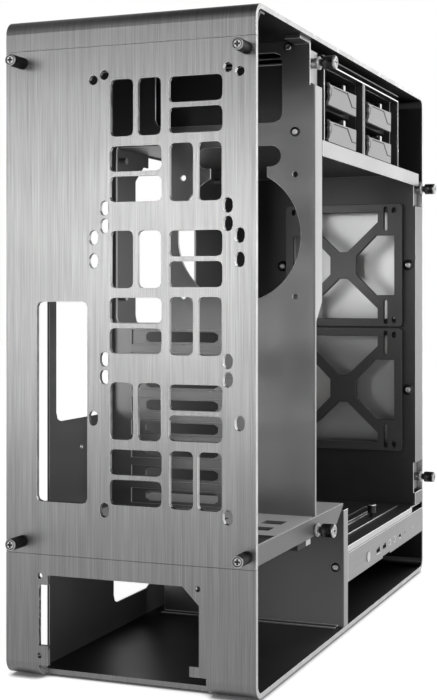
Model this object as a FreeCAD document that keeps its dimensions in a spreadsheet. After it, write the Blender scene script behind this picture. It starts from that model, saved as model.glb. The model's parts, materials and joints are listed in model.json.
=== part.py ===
import FreeCAD, Part
import os
import Sketcher
from math import cos, radians, sin
from types import SimpleNamespace
from FreeCAD import Vector

# Tower pc case, side panels off, in millimetres.
# +Z is up, the rear cover faces +Y, the open component side faces -X.
# The origin is at the middle of the base, on the surface that the feet stand on.
# Sizes named _x run from the open side's edge, _d from the rear face and _z from the wrap's underside.

SIZES = {
    # Outer wrap: one folded sheet
    "case_width": 217,
    "case_depth": 530,
    "case_height": 530,
    "wrap_sheet": 4,
    "bend_radius": 12,
    "seam_low_z": 99.2,
    "seam_high_z": 504.4,
    "seam_gap": 0.3,
    "foot_height": 2,
    "foot_diameter": 18,
    "foot_inset_x": 34,
    "foot_inset_d": 48,
    # Power supply cut-out in the wrap
    "psu_left_x": 187,
    "psu_right_x": 47,
    "psu_top_z": 83,
    "psu_cut_depth": 14,
    "psu_chamfer": 14,
    "psu_ear": 8,
    "psu_toe": 6,
    "psu_hole_x": 48,
    "psu_hole_z": 82,
    "psu_hole_pitch_x": 138,
    "psu_hole_pitch_z": 64,
    "psu_hole_diameter": 4.5,
    # Rear cover
    "cover_screw_near_x": 7.5,
    "cover_screw_far_x": 201.5,
    "cover_screw_inset_z": 10,
    "cover_screw_hole": 4.6,
    "cover_io_x": 143.2,
    "cover_io_z": 142.1,
    "io_width": 45.5,
    "io_height": 160.2,
    "io_corner": 4,
    "fan_column_x": 75.5,
    "fan_low_z": 190.6,
    "fan_pitch": 119,
    "vent_cell_pitch_x": 51,
    "vent_cell_pitch_z": 52,
    "vent_length": 45,
    "vent_width": 20,
    "vent_bar": 3.8,
    "vent_corner": 4,
    "fan_hole_pitch": 105,
    "fan_hole_width": 8,
    "fan_hole_length": 12,
    "wide_fan_hole_pitch": 124.5,
    "wide_fan_low_z": 272.4,
    "wide_fan_pitch": 142.9,
    # Thumbscrews of the rear cover and the strip that takes the upper two
    "thumbscrew_reach": 20,
    "thumbscrew_diameter": 9.5,
    "thumbscrew_shank": 4,
    "thumbscrew_shank_length": 10,
    "thread_clearance": 0.1,
    "strip_sheet": 2,
    "strip_margin_x": 2,
    "strip_low_z": 484,
    "strip_bend_z": 512,
    "strip_bend_d": 14,
    "strip_end_d": 24,
    # Inner wall
    "wall_d": 142,
    "wall_sheet": 2,
    "wall_bend": 1.5,
    "post_setback": 4.5,
    "wall_notch_z": 487.6,
    "setback_gap": 2,
    "upper_flange_top_z": 518,
    "flange_narrow": 3.5,
    "flange_wide": 19.5,
    "flange_taper_z": 285,
    "flange_wide_z": 302,
    "top_window_x": 30,
    "top_window_z": 457,
    "top_window_width": 120,
    "top_window_height": 60,
    "top_window_corner": 7,
    "aperture_z": 283,
    "inner_fan_x": 70.5,
    "inner_fan_z": 359,
    "inner_fan_diameter": 115,
    "inner_fan_hole": 5,
    "grip_width": 79,
    "grip_height": 18,
    "grip_z": 428,
    "grip_neck": 53,
    "strap_length": 26,
    "strap_width": 14,
    "strap_sheet": 3,
    # Expansion slots
    "slot_count": 8,
    "slot_pitch": 20.32,
    "slot_low_z": 128,
    "slot_x": 72,
    "slot_length": 102,
    "slot_height": 13,
    "slot_cover_overlap": 5,
    "slot_cover_height": 18.6,
    "slot_cover_sheet": 1.2,
    "slot_vent_x": 90,
    "slot_vent_length": 71,
    "slot_vent_height": 9,
    "slot_tab_depth": 12,
    "small_head": 6,
    "small_head_height": 2,
    # Motherboard tray
    "tray_x": 192,
    "tray_sheet": 2,
    "tray_rear_d": 26,
    "tray_hole_corner": 8,
    "rear_hole_d": 38,
    "rear_hole_length": 97,
    "rear_hole_z": 202,
    "rear_hole_height": 231,
    "cpu_hole_d": 188,
    "cpu_hole_length": 142,
    "cpu_hole_z": 281,
    "cpu_hole_height": 158,
    "cpu_step_length": 28,
    "cpu_step_height": 10,
    "cpu_slope_length": 18,
    "cpu_slope_height": 15,
    "tray_pin_d": 82,
    "tray_pin_z": 177,
    "tray_pin_hole": 4,
    "bay_hole_d": 143,
    "bay_hole_length": 79,
    "bay_hole_z": 28,
    "bay_hole_height": 68,
    "standoff_d": 156,
    "standoff_z": 148,
    "standoff_pitch_d": 227.33,
    "standoff_middle_d": 157.48,
    "standoff_pitch_z": 281.94,
    "standoff_middle_z": 157.48,
    "standoff_diameter": 6,
    "standoff_height": 6.5,
    # Mid shelf over the power supply bay
    "shelf_top_z": 118,
    "shelf_sheet": 2,
    "shelf_rear_d": 46,
    "shelf_front_d": 224,
    "beam_height": 16,
    "beam_chamfer": 20,
    "rear_flange_end_x": 214,
    "shelf_vent_x": 15,
    "shelf_vent_pitch_x": 26,
    "shelf_vent_columns": 6,
    "shelf_vent_width": 18,
    "shelf_vent_d": 66,
    "shelf_vent_pitch_d": 31,
    "shelf_vent_length": 15,
    # Partition between the power supply bay and the front
    "partition_d": 226,
    "partition_sheet": 2,
    "partition_end_x": 180,
    "partition_top_z": 111,
    "partition_flange": 13,
    "partition_foot": 8,
    "partition_foot_x": 6,
    "partition_foot_sheet": 1.5,
    # Front frame and its fan brackets
    "frame_d": 495,
    "frame_sheet": 2,
    "frame_flange_low_z": 123,
    "frame_flange_high_z": 406,
    "frame_toe_z": 90,
    "bracket_x": 81.5,
    "bracket_low_z": 203.5,
    "bracket_pitch": 137.5,
    "bracket_size": 136,
    "bracket_depth": 6,
    "bracket_corner": 4,
    "frame_window": 118,
    "hub_half": 15,
    "hub_flat": 5,
    "hub_side_flat": 10,
    "top_window_half": 40,
    "top_window_side": 48,
    "window_reach": 59,
    "side_window_half": 33,
    "side_window_step": 38,
    "bracket_slot_x": 49,
    "bracket_slot_z": 51.5,
    "bracket_slot_width": 4.4,
    "bracket_slot_length": 27,
    "bracket_hole_x": 58.5,
    "bracket_hole_z": 60.5,
    "bracket_hole_length": 7,
    "bracket_screw_x": 8,
    "bracket_screw_head": 7,
    "bracket_screw_height": 3,
    # Bottom shelf and the bracket on it
    "low_shelf_top_z": 76,
    "low_shelf_sheet": 2,
    "low_shelf_lip": 6,
    "low_lip_end_d": 480,
    "base_bracket_x": 16,
    "base_bracket_width": 155.5,
    "base_bracket_d": 245,
    "base_bracket_length": 235,
    "base_bracket_sheet": 1.5,
    "base_slot_inset": 28,
    "base_slot_width": 6,
    "base_slot_length": 200,
    "base_rail_x": 31,
    "base_rail_width": 3,
    "base_rail_height": 3,
    "base_rail_end_d": 413,
    "base_screw_x": 21.5,
    "base_screw_d": 395,
    "base_screw_neck": 4,
    "base_screw_neck_height": 4,
    "base_screw_head": 9,
    "base_screw_head_height": 9.5,
    # Drive cage
    "cage_top_face_z": 442.8,
    "cage_sheet": 2,
    "cage_band_height": 14.1,
    "cage_band_start_d": 164,
    "cage_band_end_d": 510,
    "cage_front_x": 8,
    "cage_back_x": 188,
    "divider_width": 6,
    "divider_sheet": 1.5,
    "bay_width": 120,
    "cage_inner_height": 67.7,
    "cage_hem": 6.5,
    "ledge_width": 5,
    "ledge_thickness": 1.7,
    "ledge_front_x": 20,
    "ledge_back_x": 180,
    # Drive trays
    "tray_gap": 0.4,
    "tray_side_gap": 0.6,
    "tray_pitch": 32.5,
    "sled_front_x": 14,
    "sled_length": 158,
    "sled_floor": 2,
    "sled_wall": 2,
    "sled_height": 20,
    "sled_front": 3,
    "handle_start": 17,
    "handle_length": 81,
    "handle_tip": 6,
    "handle_height": 20,
    "handle_thickness": 4,
    "lever_inset": 6,
    "lever_slope": 11,
    "lever_length": 66,
    "lever_low": 5,
    "lever_height": 11.5,
    "lever_thickness": 1.5,
    # Control strip on the open side
    "panel_low_z": 43,
    "panel_sheet": 2,
    "panel_lip": 18,
    "panel_gap": 0.4,
    "panel_notch_d": 360,
    "panel_notch_length": 29,
    "panel_notch_height": 1.6,
    "control_z": 54,
    "board_x": 14,
    "board_sheet": 1.6,
    "board_d": 296,
    "board_length": 194,
    "button_d": 306.5,
    "button_diameter": 10,
    "button_gap": 0.3,
    "button_reach": 0.8,
    "button_collar": 12.6,
    "button_collar_sheet": 1.2,
    "button_travel": 1.2,
    "switch_diameter": 5,
    "usb_first_d": 344,
    "usb_pitch": 23.5,
    "usb_width": 14,
    "usb_height": 6.4,
    "usb_wall": 0.6,
    "usb_tongue": 1.6,
    "port_recess": 0.4,
    "port_gap": 0.3,
    "jack_first_d": 387,
    "jack_pitch": 19,
    "jack_diameter": 8,
    "jack_bore": 3.6,
    "type_c_d": 429,
    "type_c_width": 10,
    "type_c_height": 4,
    "reset_d": 449,
    "reset_diameter": 3,
    "led_first_d": 480,
    "led_pitch": 7,
    "led_diameter": 2,
    # Side panel posts, the same on both sides
    "post_rear_top_d": 147,
    "post_rear_top_z": 506.5,
    "post_rear_low_d": 143,
    "post_rear_low_z": 107,
    "post_front_top_d": 515.5,
    "post_front_top_z": 426,
    "post_front_low_d": 512,
    "post_front_low_z": 106,
    "post_collar": 9,
    "post_collar_height": 1,
    "post_neck": 7,
    "post_length": 6,
    "washer_diameter": 11.5,
    "washer_thickness": 2,
    "washer_gap": 0.2,
    "knob_diameter": 11.5,
    "knob_length": 11.5,
    "boss_diameter": 9,
    "far_block_length": 24,
    "far_block_height": 16,
    "far_block_lap": 14,
    "far_block_margin": 8,
    # Small screws that show on the folded plates
    "wall_screw_x": 18,
    "wall_screw_z": 448,
    "upper_screw_x": 24,
    "upper_screw_z": 521,
    "partition_screw_x": 8,
    "partition_screw_z": 58.5,
}


class Quantity:
    """A length together with the sheet expression that it comes from."""

    def __init__(self, number, text):
        self.number = number
        self.text = text

    @staticmethod
    def of(value):
        if isinstance(value, Quantity):
            return value
        return Quantity(value, "(%s)" % value)

    def __add__(self, other):
        other = Quantity.of(other)
        return Quantity(self.number + other.number, "(%s + %s)" % (self.text, other.text))

    def __sub__(self, other):
        other = Quantity.of(other)
        return Quantity(self.number - other.number, "(%s - %s)" % (self.text, other.text))

    def __mul__(self, factor):
        factor = Quantity.of(factor)
        return Quantity(self.number * factor.number, "(%s * %s)" % (self.text, factor.text))

    def __truediv__(self, divisor):
        return Quantity(self.number / divisor, "(%s / %s)" % (self.text, divisor))

    def __neg__(self):
        return Quantity(-self.number, "(0 - %s)" % self.text)

    def __radd__(self, other):
        return Quantity.of(other) + self

    def __rsub__(self, other):
        return Quantity.of(other) - self


def make_sheet(doc):
    """Write every size to the sheet and return the sizes as quantities."""
    sheet = doc.addObject("Spreadsheet::Sheet", "sizes")
    quantities = {}
    for row, (name, number) in enumerate(SIZES.items(), start=1):
        sheet.set("A%d" % row, name)
        sheet.set("B%d" % row, str(number))
        sheet.setAlias("B%d" % row, name)
        quantities[name] = Quantity(number, "sizes.%s" % name)
    doc.recompute()
    return SimpleNamespace(**quantities)


# Small rounds that repeat are drawn with straight sides, so that the whole case stays light.
SMALL_SIDES = 8
KNOB_SIDES = 16
CORNER_STEPS = 2
END_STEPS = 4
SMALL_END_STEPS = 3

doc = FreeCAD.newDocument("tower_case")
s = make_sheet(doc)
nothing = Quantity(0, "0")

half = s.case_width / 2
rear = (s.case_depth - s.thumbscrew_reach) / 2


def across(x):
    """Place across the case, from a distance to the open side's edge."""
    return x - half


def inward(d):
    """Place along the case, from a distance to the rear face."""
    return rear - d


def above(z):
    """Height, from a distance to the wrap's underside."""
    return z + s.foot_height


floor_z = above(s.wrap_sheet)
ceiling_z = above(s.case_height - s.wrap_sheet)
front_d = s.case_depth - s.wrap_sheet


class Drawing:
    """One sketch: its lines, arcs and circles, with every size bound to the sheet."""

    PLANES = {"across": "XZ_Plane", "along": "YZ_Plane", "flat": "XY_Plane"}

    def __init__(self, body, plane, offset):
        self.sketch = body.newObject("Sketcher::SketchObject", body.Label + "_sketch")
        role = self.PLANES[plane]
        origin_plane = [item for item in body.Origin.OriginFeatures if item.Role == role][0]
        self.sketch.AttachmentSupport = (origin_plane, [""])
        self.sketch.MapMode = "FlatFace"
        # The XZ plane's normal points along -Y.
        offset = Quantity.of(offset)
        shift = -offset if plane == "across" else offset
        self.sketch.setExpression("AttachmentOffset.Base.z", shift.text)
        self.shapes = []
        self.rules = []
        self.bound = []

    def rule(self, kind, *terms):
        self.rules.append(Sketcher.Constraint(kind, *terms))

    def bind(self, kind, *terms):
        """A constraint whose last term is a quantity."""
        size = Quantity.of(terms[-1])
        self.bound.append((len(self.rules), size.text))
        self.rule(kind, *terms[:-1], size.number)

    def pin(self, shape, end, x, y):
        """Hold a point of a shape at a place measured from the sketch's origin."""
        self.bind("DistanceX", -1, 1, shape, end, x)
        self.bind("DistanceY", -1, 1, shape, end, y)

    def polygon(self, points):
        points = [(Quantity.of(x), Quantity.of(y)) for x, y in points]
        first = len(self.shapes)
        count = len(points)
        for index, (x, y) in enumerate(points):
            next_x, next_y = points[(index + 1) % count]
            start = Vector(x.number, y.number, 0)
            end = Vector(next_x.number, next_y.number, 0)
            self.shapes.append(Part.LineSegment(start, end))
            self.pin(first + index, 1, x, y)
            self.rule("Coincident", first + index, 2, first + (index + 1) % count, 1)

    def rectangle(self, x0, y0, x1, y1):
        self.polygon([(x0, y0), (x1, y0), (x1, y1), (x0, y1)])

    def circle(self, x, y, diameter):
        shape = len(self.shapes)
        centre = Vector(x.number, y.number, 0)
        self.shapes.append(Part.Circle(centre, Vector(0, 0, 1), diameter.number / 2))
        self.pin(shape, 3, x, y)
        self.bind("Radius", shape, diameter / 2)

    def arc(self, x, y, radius, start, end):
        centre = Vector(x.number, y.number, 0)
        circle = Part.Circle(centre, Vector(0, 0, 1), radius.number)
        self.shapes.append(Part.ArcOfCircle(circle, radians(start), radians(end)))

    def line(self, x0, y0, x1, y1):
        start = Vector(x0.number, y0.number, 0)
        self.shapes.append(Part.LineSegment(start, Vector(x1.number, y1.number, 0)))

    def rounded(self, x0, y0, x1, y1, radius):
        """A rectangle with rounded corners."""
        first = len(self.shapes)
        left, right = x0 + radius, x1 - radius
        low, high = y0 + radius, y1 - radius
        self.line(left, y0, right, y0)
        self.arc(right, low, radius, -90, 0)
        self.line(x1, low, x1, high)
        self.arc(right, high, radius, 0, 90)
        self.line(right, y1, left, y1)
        self.arc(left, high, radius, 90, 180)
        self.line(x0, high, x0, low)
        self.arc(left, low, radius, 180, 270)
        for step in range(8):
            self.rule("Tangent", first + step, 2, first + (step + 1) % 8, 1)
        centres = [(right, low), (right, high), (left, high), (left, low)]
        for corner, (x, y) in enumerate(centres):
            self.pin(first + 2 * corner + 1, 3, x, y)
            if corner:
                self.rule("Equal", first + 1, first + 2 * corner + 1)
        self.bind("Radius", first + 1, radius)

    def fan(self, x, y, radius, start, sweep, steps):
        """Points along an arc, from one angle over a sweep, in a number of straight steps."""
        points = []
        for step in range(steps + 1):
            turn = radians(start + sweep * step / steps)
            points.append((x + radius * round(cos(turn), 6), y + radius * round(sin(turn), 6)))
        return points

    def many_sided(self, x, y, diameter, sides=SMALL_SIDES):
        """A small round drawn with straight sides."""
        self.polygon(self.fan(x, y, diameter / 2, 0, 360, sides)[:-1])

    def eased(self, x0, y0, x1, y1, radius):
        """A rectangle whose corners are eased in a few straight steps."""
        left, right = x0 + radius, x1 - radius
        low, high = y0 + radius, y1 - radius
        points = []
        for corner, (x, y) in enumerate([(right, high), (left, high), (left, low), (right, low)]):
            points += self.fan(x, y, radius, 90 * corner, 90, CORNER_STEPS)
        self.polygon(points)

    def upright_slot(self, x, y, width, length, steps=SMALL_END_STEPS):
        """A slot with rounded ends that runs along the sketch's second axis."""
        radius, reach = width / 2, (length - width) / 2
        upper = self.fan(x, y + reach, radius, 0, 180, steps)
        lower = self.fan(x, y - reach, radius, 180, 180, steps)
        self.polygon(upper + lower)

    def level_slot(self, x, y, length, width, steps=SMALL_END_STEPS):
        """A slot with rounded ends that runs along the sketch's first axis."""
        radius, reach = width / 2, (length - width) / 2
        right = self.fan(x + reach, y, radius, -90, 180, steps)
        left = self.fan(x - reach, y, radius, 90, 180, steps)
        self.polygon(right + left)

    def done(self):
        self.sketch.addGeometry(self.shapes)
        self.sketch.addConstraint(self.rules)
        for index, text in self.bound:
            self.sketch.setExpression("Constraints[%d]" % index, text)
        return self.sketch


def new_body(label):
    body = doc.addObject("PartDesign::Body", label)
    body.Label = label
    return body


def pad(body, drawing, length):
    """Raise a drawing along its plane's normal: -Y, +X or +Z."""
    feature = body.newObject("PartDesign::Pad", body.Label + "_pad")
    feature.Profile = drawing.done()
    feature.setExpression("Length", Quantity.of(length).text)
    return feature


def pocket(body, drawing, depth):
    """Cut a drawing along its plane's normal, and make sure that it cut something."""
    doc.recompute()
    before = body.Shape.Volume
    feature = body.newObject("PartDesign::Pocket", body.Label + "_pocket")
    feature.Profile = drawing.done()
    feature.Reversed = True
    feature.setExpression("Length", Quantity.of(depth).text)
    doc.recompute()
    if body.Shape.Volume >= before:
        raise ValueError("a pocket of %s cut nothing" % body.Label)
    return feature


def round_bend(body, x, y, radius):
    """Round the upright edge of a fold that stands at x, y."""
    doc.recompute()
    base = body.Tip
    names = []
    for index, edge in enumerate(base.Shape.Edges, start=1):
        box = edge.BoundBox
        upright = box.ZLength > 2 * radius.number and box.XLength + box.YLength < 0.01
        if upright and abs(box.XMin - x.number) < 0.01 and abs(box.YMin - y.number) < 0.01:
            names.append("Edge%d" % index)
    feature = body.newObject("PartDesign::Fillet", body.Label + "_bend")
    feature.Base = (base, names)
    feature.setExpression("Radius", radius.text)


def make_outer_wrap():
    body = new_body("outer_wrap")
    ring = Drawing(body, "along", across(nothing))
    ring.rounded(inward(s.case_depth), above(nothing), rear, above(s.case_height), s.bend_radius)
    ring.rounded(inward(front_d), floor_z, inward(s.wrap_sheet), ceiling_z, s.bend_radius - s.wrap_sheet)
    pad(body, ring, s.case_width)
    opening = Drawing(body, "across", rear)
    opening.rectangle(-half, above(s.seam_low_z), half, above(s.seam_high_z))
    pocket(body, opening, s.wrap_sheet)
    left, right, top = s.psu_left_x, s.psu_right_x, s.psu_top_z
    ear, toe, edge = s.psu_ear, s.psu_toe, s.psu_chamfer
    ear_z = s.psu_hole_z - s.psu_hole_pitch_z
    outline = [
        (left, nothing), (left, ear_z - ear), (left - ear, ear_z - ear), (left - ear, ear_z + ear),
        (left, ear_z + ear), (left, top - ear), (left - ear, top - ear), (left - ear, top),
        (right + edge, top), (right, top - edge), (right, ear_z + ear / 2), (right + ear, ear_z + ear / 2),
        (right + ear, ear_z - ear / 2), (right - toe, ear_z - ear / 2), (right - toe, nothing),
    ]
    supply = Drawing(body, "across", rear)
    supply.polygon([(across(x), above(z)) for x, z in outline])
    pocket(body, supply, s.psu_cut_depth)
    holes = Drawing(body, "across", rear)
    far_x = s.psu_hole_x + s.psu_hole_pitch_x
    for x, z in [(s.psu_hole_x, s.psu_hole_z), (far_x, s.psu_hole_z), (far_x, ear_z)]:
        holes.circle(across(x), above(z), s.psu_hole_diameter)
    pocket(body, holes, s.wrap_sheet)


cover_low_z = s.seam_low_z + s.seam_gap
cover_high_z = s.seam_high_z - s.seam_gap
screw_columns = [s.cover_screw_near_x, s.cover_screw_far_x]
screw_rows = [s.seam_low_z + s.cover_screw_inset_z, s.seam_high_z - s.cover_screw_inset_z]


def draw_vent_cell(drawing, x, z, upright):
    """Two rounded slots side by side, upright or level."""
    step = (s.vent_width + s.vent_bar) / 2
    for side in (-1, 1):
        if upright:
            slot_x, slot_z, width, height = x + step * side, z, s.vent_width, s.vent_length
        else:
            slot_x, slot_z, width, height = x, z + step * side, s.vent_length, s.vent_width
        x0, z0 = slot_x - width / 2, slot_z - height / 2
        drawing.eased(across(x0), above(z0), across(x0 + width), above(z0 + height), s.vent_corner)


def make_rear_cover():
    body = new_body("rear_cover")
    plate = Drawing(body, "across", rear)
    plate.rectangle(-half, above(cover_low_z), half, above(cover_high_z))
    io_far_x, io_top_z = s.cover_io_x + s.io_width, s.cover_io_z + s.io_height
    plate.eased(across(s.cover_io_x), above(s.cover_io_z), across(io_far_x), above(io_top_z), s.io_corner)
    for x in screw_columns:
        for z in screw_rows:
            plate.many_sided(across(x), above(z), s.cover_screw_hole)
    pad(body, plate, s.wrap_sheet)
    narrow = [s.fan_low_z + s.fan_pitch * fan for fan in range(3)]
    wide = [s.wide_fan_low_z + s.wide_fan_pitch * fan for fan in range(2)]
    for centres, pitch in [(narrow, s.fan_hole_pitch), (wide, s.wide_fan_hole_pitch)]:
        rows = [z + pitch / 2 * side for z in centres for side in (-1, 1)]
        for z in rows:
            holes = Drawing(body, "across", rear)
            for x in (s.fan_column_x - pitch / 2, s.fan_column_x + pitch / 2):
                if z is rows[-1]:
                    holes.many_sided(across(x), above(z), s.fan_hole_width)
                else:
                    holes.upright_slot(across(x), above(z), s.fan_hole_width, s.fan_hole_length, END_STEPS)
            pocket(body, holes, s.wrap_sheet)
    cuts = []
    step_x, step_z = s.vent_cell_pitch_x / 2, s.vent_cell_pitch_z / 2
    for column in (-1, 1):
        for row in (-1, 1):
            vents = Drawing(body, "across", rear)
            x, z = s.fan_column_x + step_x * column, s.fan_low_z + step_z * row
            draw_vent_cell(vents, x, z, upright=column == row)
            cuts.append(pocket(body, vents, s.wrap_sheet))
    pattern = body.newObject("PartDesign::LinearPattern", "fan_pattern")
    pattern.Originals = cuts
    pattern.Direction = (vents.sketch, ["V_Axis"])
    pattern.setExpression("Length", (s.fan_pitch * 2).text)
    pattern.Occurrences = 3
    body.Tip = pattern


def make_cover_bracket():
    """Folded strip behind the upper seam, with a hole for each upper thumbscrew."""
    body = new_body("cover_bracket")
    sheet, back = s.strip_sheet, s.wrap_sheet
    lean = sheet * 0.5
    profile = [
        (back, s.strip_low_z), (back, s.strip_bend_z), (s.strip_bend_d, s.case_height - s.wrap_sheet),
        (s.strip_end_d, s.case_height - s.wrap_sheet), (s.strip_end_d, s.case_height - s.wrap_sheet - sheet),
        (s.strip_bend_d + lean, s.case_height - s.wrap_sheet - sheet),
        (back + sheet, s.strip_bend_z - lean), (back + sheet, s.strip_low_z),
    ]
    strip = Drawing(body, "along", across(s.strip_margin_x))
    strip.polygon([(inward(d), above(z)) for d, z in profile])
    pad(body, strip, s.case_width - s.strip_margin_x * 2)
    holes = Drawing(body, "across", inward(back))
    for x in screw_columns:
        holes.many_sided(across(x), above(screw_rows[1]), s.thumbscrew_shank + s.thread_clearance * 2)
    pocket(body, holes, sheet)


def make_thumbscrews():
    body = new_body("rear_cover_thumbscrews")
    for x in screw_columns:
        for z in screw_rows:
            head = Drawing(body, "across", rear + s.thumbscrew_reach)
            head.many_sided(across(x), above(z), s.thumbscrew_diameter, KNOB_SIDES)
            pad(body, head, s.thumbscrew_reach)
            shank = Drawing(body, "across", rear)
            shank.many_sided(across(x), above(z), s.thumbscrew_shank)
            pad(body, shank, s.thumbscrew_shank_length)


def make_feet():
    body = new_body("feet")
    for x in (s.foot_inset_x, s.case_width - s.foot_inset_x):
        for d in (s.foot_inset_d, s.case_depth - s.foot_inset_d):
            foot = Drawing(body, "flat", nothing)
            foot.many_sided(across(x), inward(d), s.foot_diameter)
            pad(body, foot, s.foot_height)


slot_rows = [s.slot_low_z + s.slot_pitch * index for index in range(SIZES["slot_count"])]
wall_front_d = s.wall_d + s.wall_sheet


def make_inner_wall():
    body = new_body("inner_wall")
    plate = Drawing(body, "across", inward(s.wall_d))
    top = s.case_height - s.wrap_sheet
    outline = [
        (nothing, s.shelf_top_z), (s.tray_x, s.shelf_top_z), (s.tray_x, top),
        (s.post_setback, top), (s.post_setback, s.wall_notch_z), (nothing, s.wall_notch_z),
    ]
    plate.polygon([(across(x), above(z)) for x, z in outline])
    window_end_x = s.top_window_x + s.top_window_width
    window_top_z = s.top_window_z + s.top_window_height
    plate.eased(across(s.top_window_x), above(s.top_window_z), across(window_end_x), above(window_top_z),
                s.top_window_corner)
    aperture_x, aperture_top_z = s.cover_io_x + s.io_width, s.aperture_z + s.io_height
    plate.eased(across(s.cover_io_x), above(s.aperture_z), across(aperture_x), above(aperture_top_z),
                s.io_corner)
    plate.circle(across(s.inner_fan_x), above(s.inner_fan_z), s.inner_fan_diameter)
    for side_x in (-1, 1):
        for side_z in (-1, 1):
            x = s.inner_fan_x + s.fan_hole_pitch / 2 * side_x
            z = s.inner_fan_z + s.fan_hole_pitch / 2 * side_z
            plate.circle(across(x), above(z), s.inner_fan_hole)
    for z in slot_rows:
        low, high = above(z - s.slot_height / 2), above(z + s.slot_height / 2)
        plate.rectangle(across(s.slot_x), low, across(s.slot_x + s.slot_length), high)
    pad(body, plate, s.wall_sheet)
    flange = Drawing(body, "along", across(nothing))
    outline = [
        (nothing, s.shelf_top_z), (s.flange_narrow, s.shelf_top_z), (s.flange_narrow, s.flange_taper_z),
        (s.flange_wide, s.flange_wide_z), (s.flange_wide, s.wall_notch_z), (nothing, s.wall_notch_z),
    ]
    flange.polygon([(inward(s.wall_d + d), above(z)) for d, z in outline])
    pad(body, flange, s.wall_sheet)
    # Above the notch the flange is set back to take a post's boss.
    upper = Drawing(body, "along", across(s.post_setback))
    upper.rectangle(inward(s.wall_d + s.flange_wide), above(s.wall_notch_z + s.setback_gap), inward(s.wall_d),
                    above(s.upper_flange_top_z))
    pad(body, upper, s.wall_sheet)
    strap = Drawing(body, "flat", ceiling_z - s.strap_sheet)
    strap.rectangle(across(s.post_setback), inward(wall_front_d), across(s.post_setback + s.strap_width),
                    inward(s.wall_d - s.strap_length))
    pad(body, strap, s.strap_sheet)
    grip = Drawing(body, "across", inward(s.wall_d))
    grip.level_slot(across(s.inner_fan_x), above(s.grip_z), s.grip_width, s.grip_height, KNOB_SIDES // 2)
    pocket(body, grip, s.wall_sheet)
    neck = Drawing(body, "across", inward(s.wall_d))
    neck_half = s.grip_neck / 2
    neck.rectangle(across(s.inner_fan_x - neck_half), above(s.inner_fan_z),
                   across(s.inner_fan_x + neck_half), above(s.grip_z))
    pocket(body, neck, s.wall_sheet)
    round_bend(body, across(nothing), inward(s.wall_d), s.wall_bend)


cover_start_x = s.slot_x - s.slot_cover_overlap
cover_end_x = s.slot_x + s.slot_length + s.slot_cover_overlap


def make_slot_covers():
    body = new_body("slot_covers")
    middle_x = s.slot_vent_x + s.slot_vent_length / 2
    for z in slot_rows:
        low, high = above(z - s.slot_cover_height / 2), above(z + s.slot_cover_height / 2)
        plate = Drawing(body, "across", inward(wall_front_d))
        plate.rectangle(across(cover_start_x), low, across(cover_end_x), high)
        plate.level_slot(across(middle_x), above(z), s.slot_vent_length, s.slot_vent_height)
        pad(body, plate, s.slot_cover_sheet)
        tab = Drawing(body, "across", inward(wall_front_d))
        tab.rectangle(across(cover_start_x), low, across(cover_start_x + s.slot_cover_sheet), high)
        pad(body, tab, s.slot_tab_depth)


def make_slot_cover_screws():
    body = new_body("slot_cover_screws")
    x = cover_start_x + s.slot_cover_overlap + s.small_head
    for z in slot_rows:
        head = Drawing(body, "across", inward(wall_front_d + s.slot_cover_sheet))
        head.many_sided(across(x), above(z), s.small_head)
        pad(body, head, s.small_head_height)


def make_motherboard_tray():
    body = new_body("motherboard_tray")
    plate = Drawing(body, "along", across(s.tray_x))
    plate.rectangle(inward(s.frame_d), floor_z, inward(s.tray_rear_d), ceiling_z)
    corner = s.tray_hole_corner
    holes = [
        (s.rear_hole_d, s.rear_hole_length, s.rear_hole_z, s.rear_hole_height),
        (s.bay_hole_d, s.bay_hole_length, s.bay_hole_z, s.bay_hole_height),
    ]
    for d, length, z, height in holes:
        plate.eased(inward(d + length), above(z), inward(d), above(z + height), corner)
    plate.many_sided(inward(s.tray_pin_d), above(s.tray_pin_z), s.tray_pin_hole)
    # The cut-out behind the processor steps down and slopes off at its upper rear corner.
    right, left = inward(s.cpu_hole_d), inward(s.cpu_hole_d + s.cpu_hole_length)
    low, high = above(s.cpu_hole_z), above(s.cpu_hole_z + s.cpu_hole_height)
    step_z = high - s.cpu_step_height
    outline = [
        (right, step_z - s.cpu_slope_height), (right - s.cpu_slope_length, step_z),
        (right - s.cpu_step_length, step_z), (right - s.cpu_step_length, high),
    ]
    for turn, x, z in [(90, left + corner, high - corner), (180, left + corner, low + corner),
                       (270, right - corner, low + corner)]:
        outline += plate.fan(x, z, corner, turn, 90, CORNER_STEPS)
    plate.polygon(outline)
    pad(body, plate, s.tray_sheet)


def make_standoffs():
    """Standoffs of a full-size board, less the two that fall in the large cut-out."""
    body = new_body("motherboard_standoffs")
    posts = Drawing(body, "along", across(s.tray_x - s.standoff_height))
    middle_d, far_d = s.standoff_d + s.standoff_middle_d, s.standoff_d + s.standoff_pitch_d
    middle_z, high_z = s.standoff_z + s.standoff_middle_z, s.standoff_z + s.standoff_pitch_z
    # The corner ones set the board's place, so they are true rounds.
    for d in (s.standoff_d, far_d):
        for z in (s.standoff_z, high_z):
            posts.circle(inward(d), above(z), s.standoff_diameter)
        posts.many_sided(inward(d), above(middle_z), s.standoff_diameter)
    posts.many_sided(inward(middle_d), above(s.standoff_z), s.standoff_diameter)
    pad(body, posts, s.standoff_height)


beam_low_z = s.shelf_top_z - s.beam_height


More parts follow.
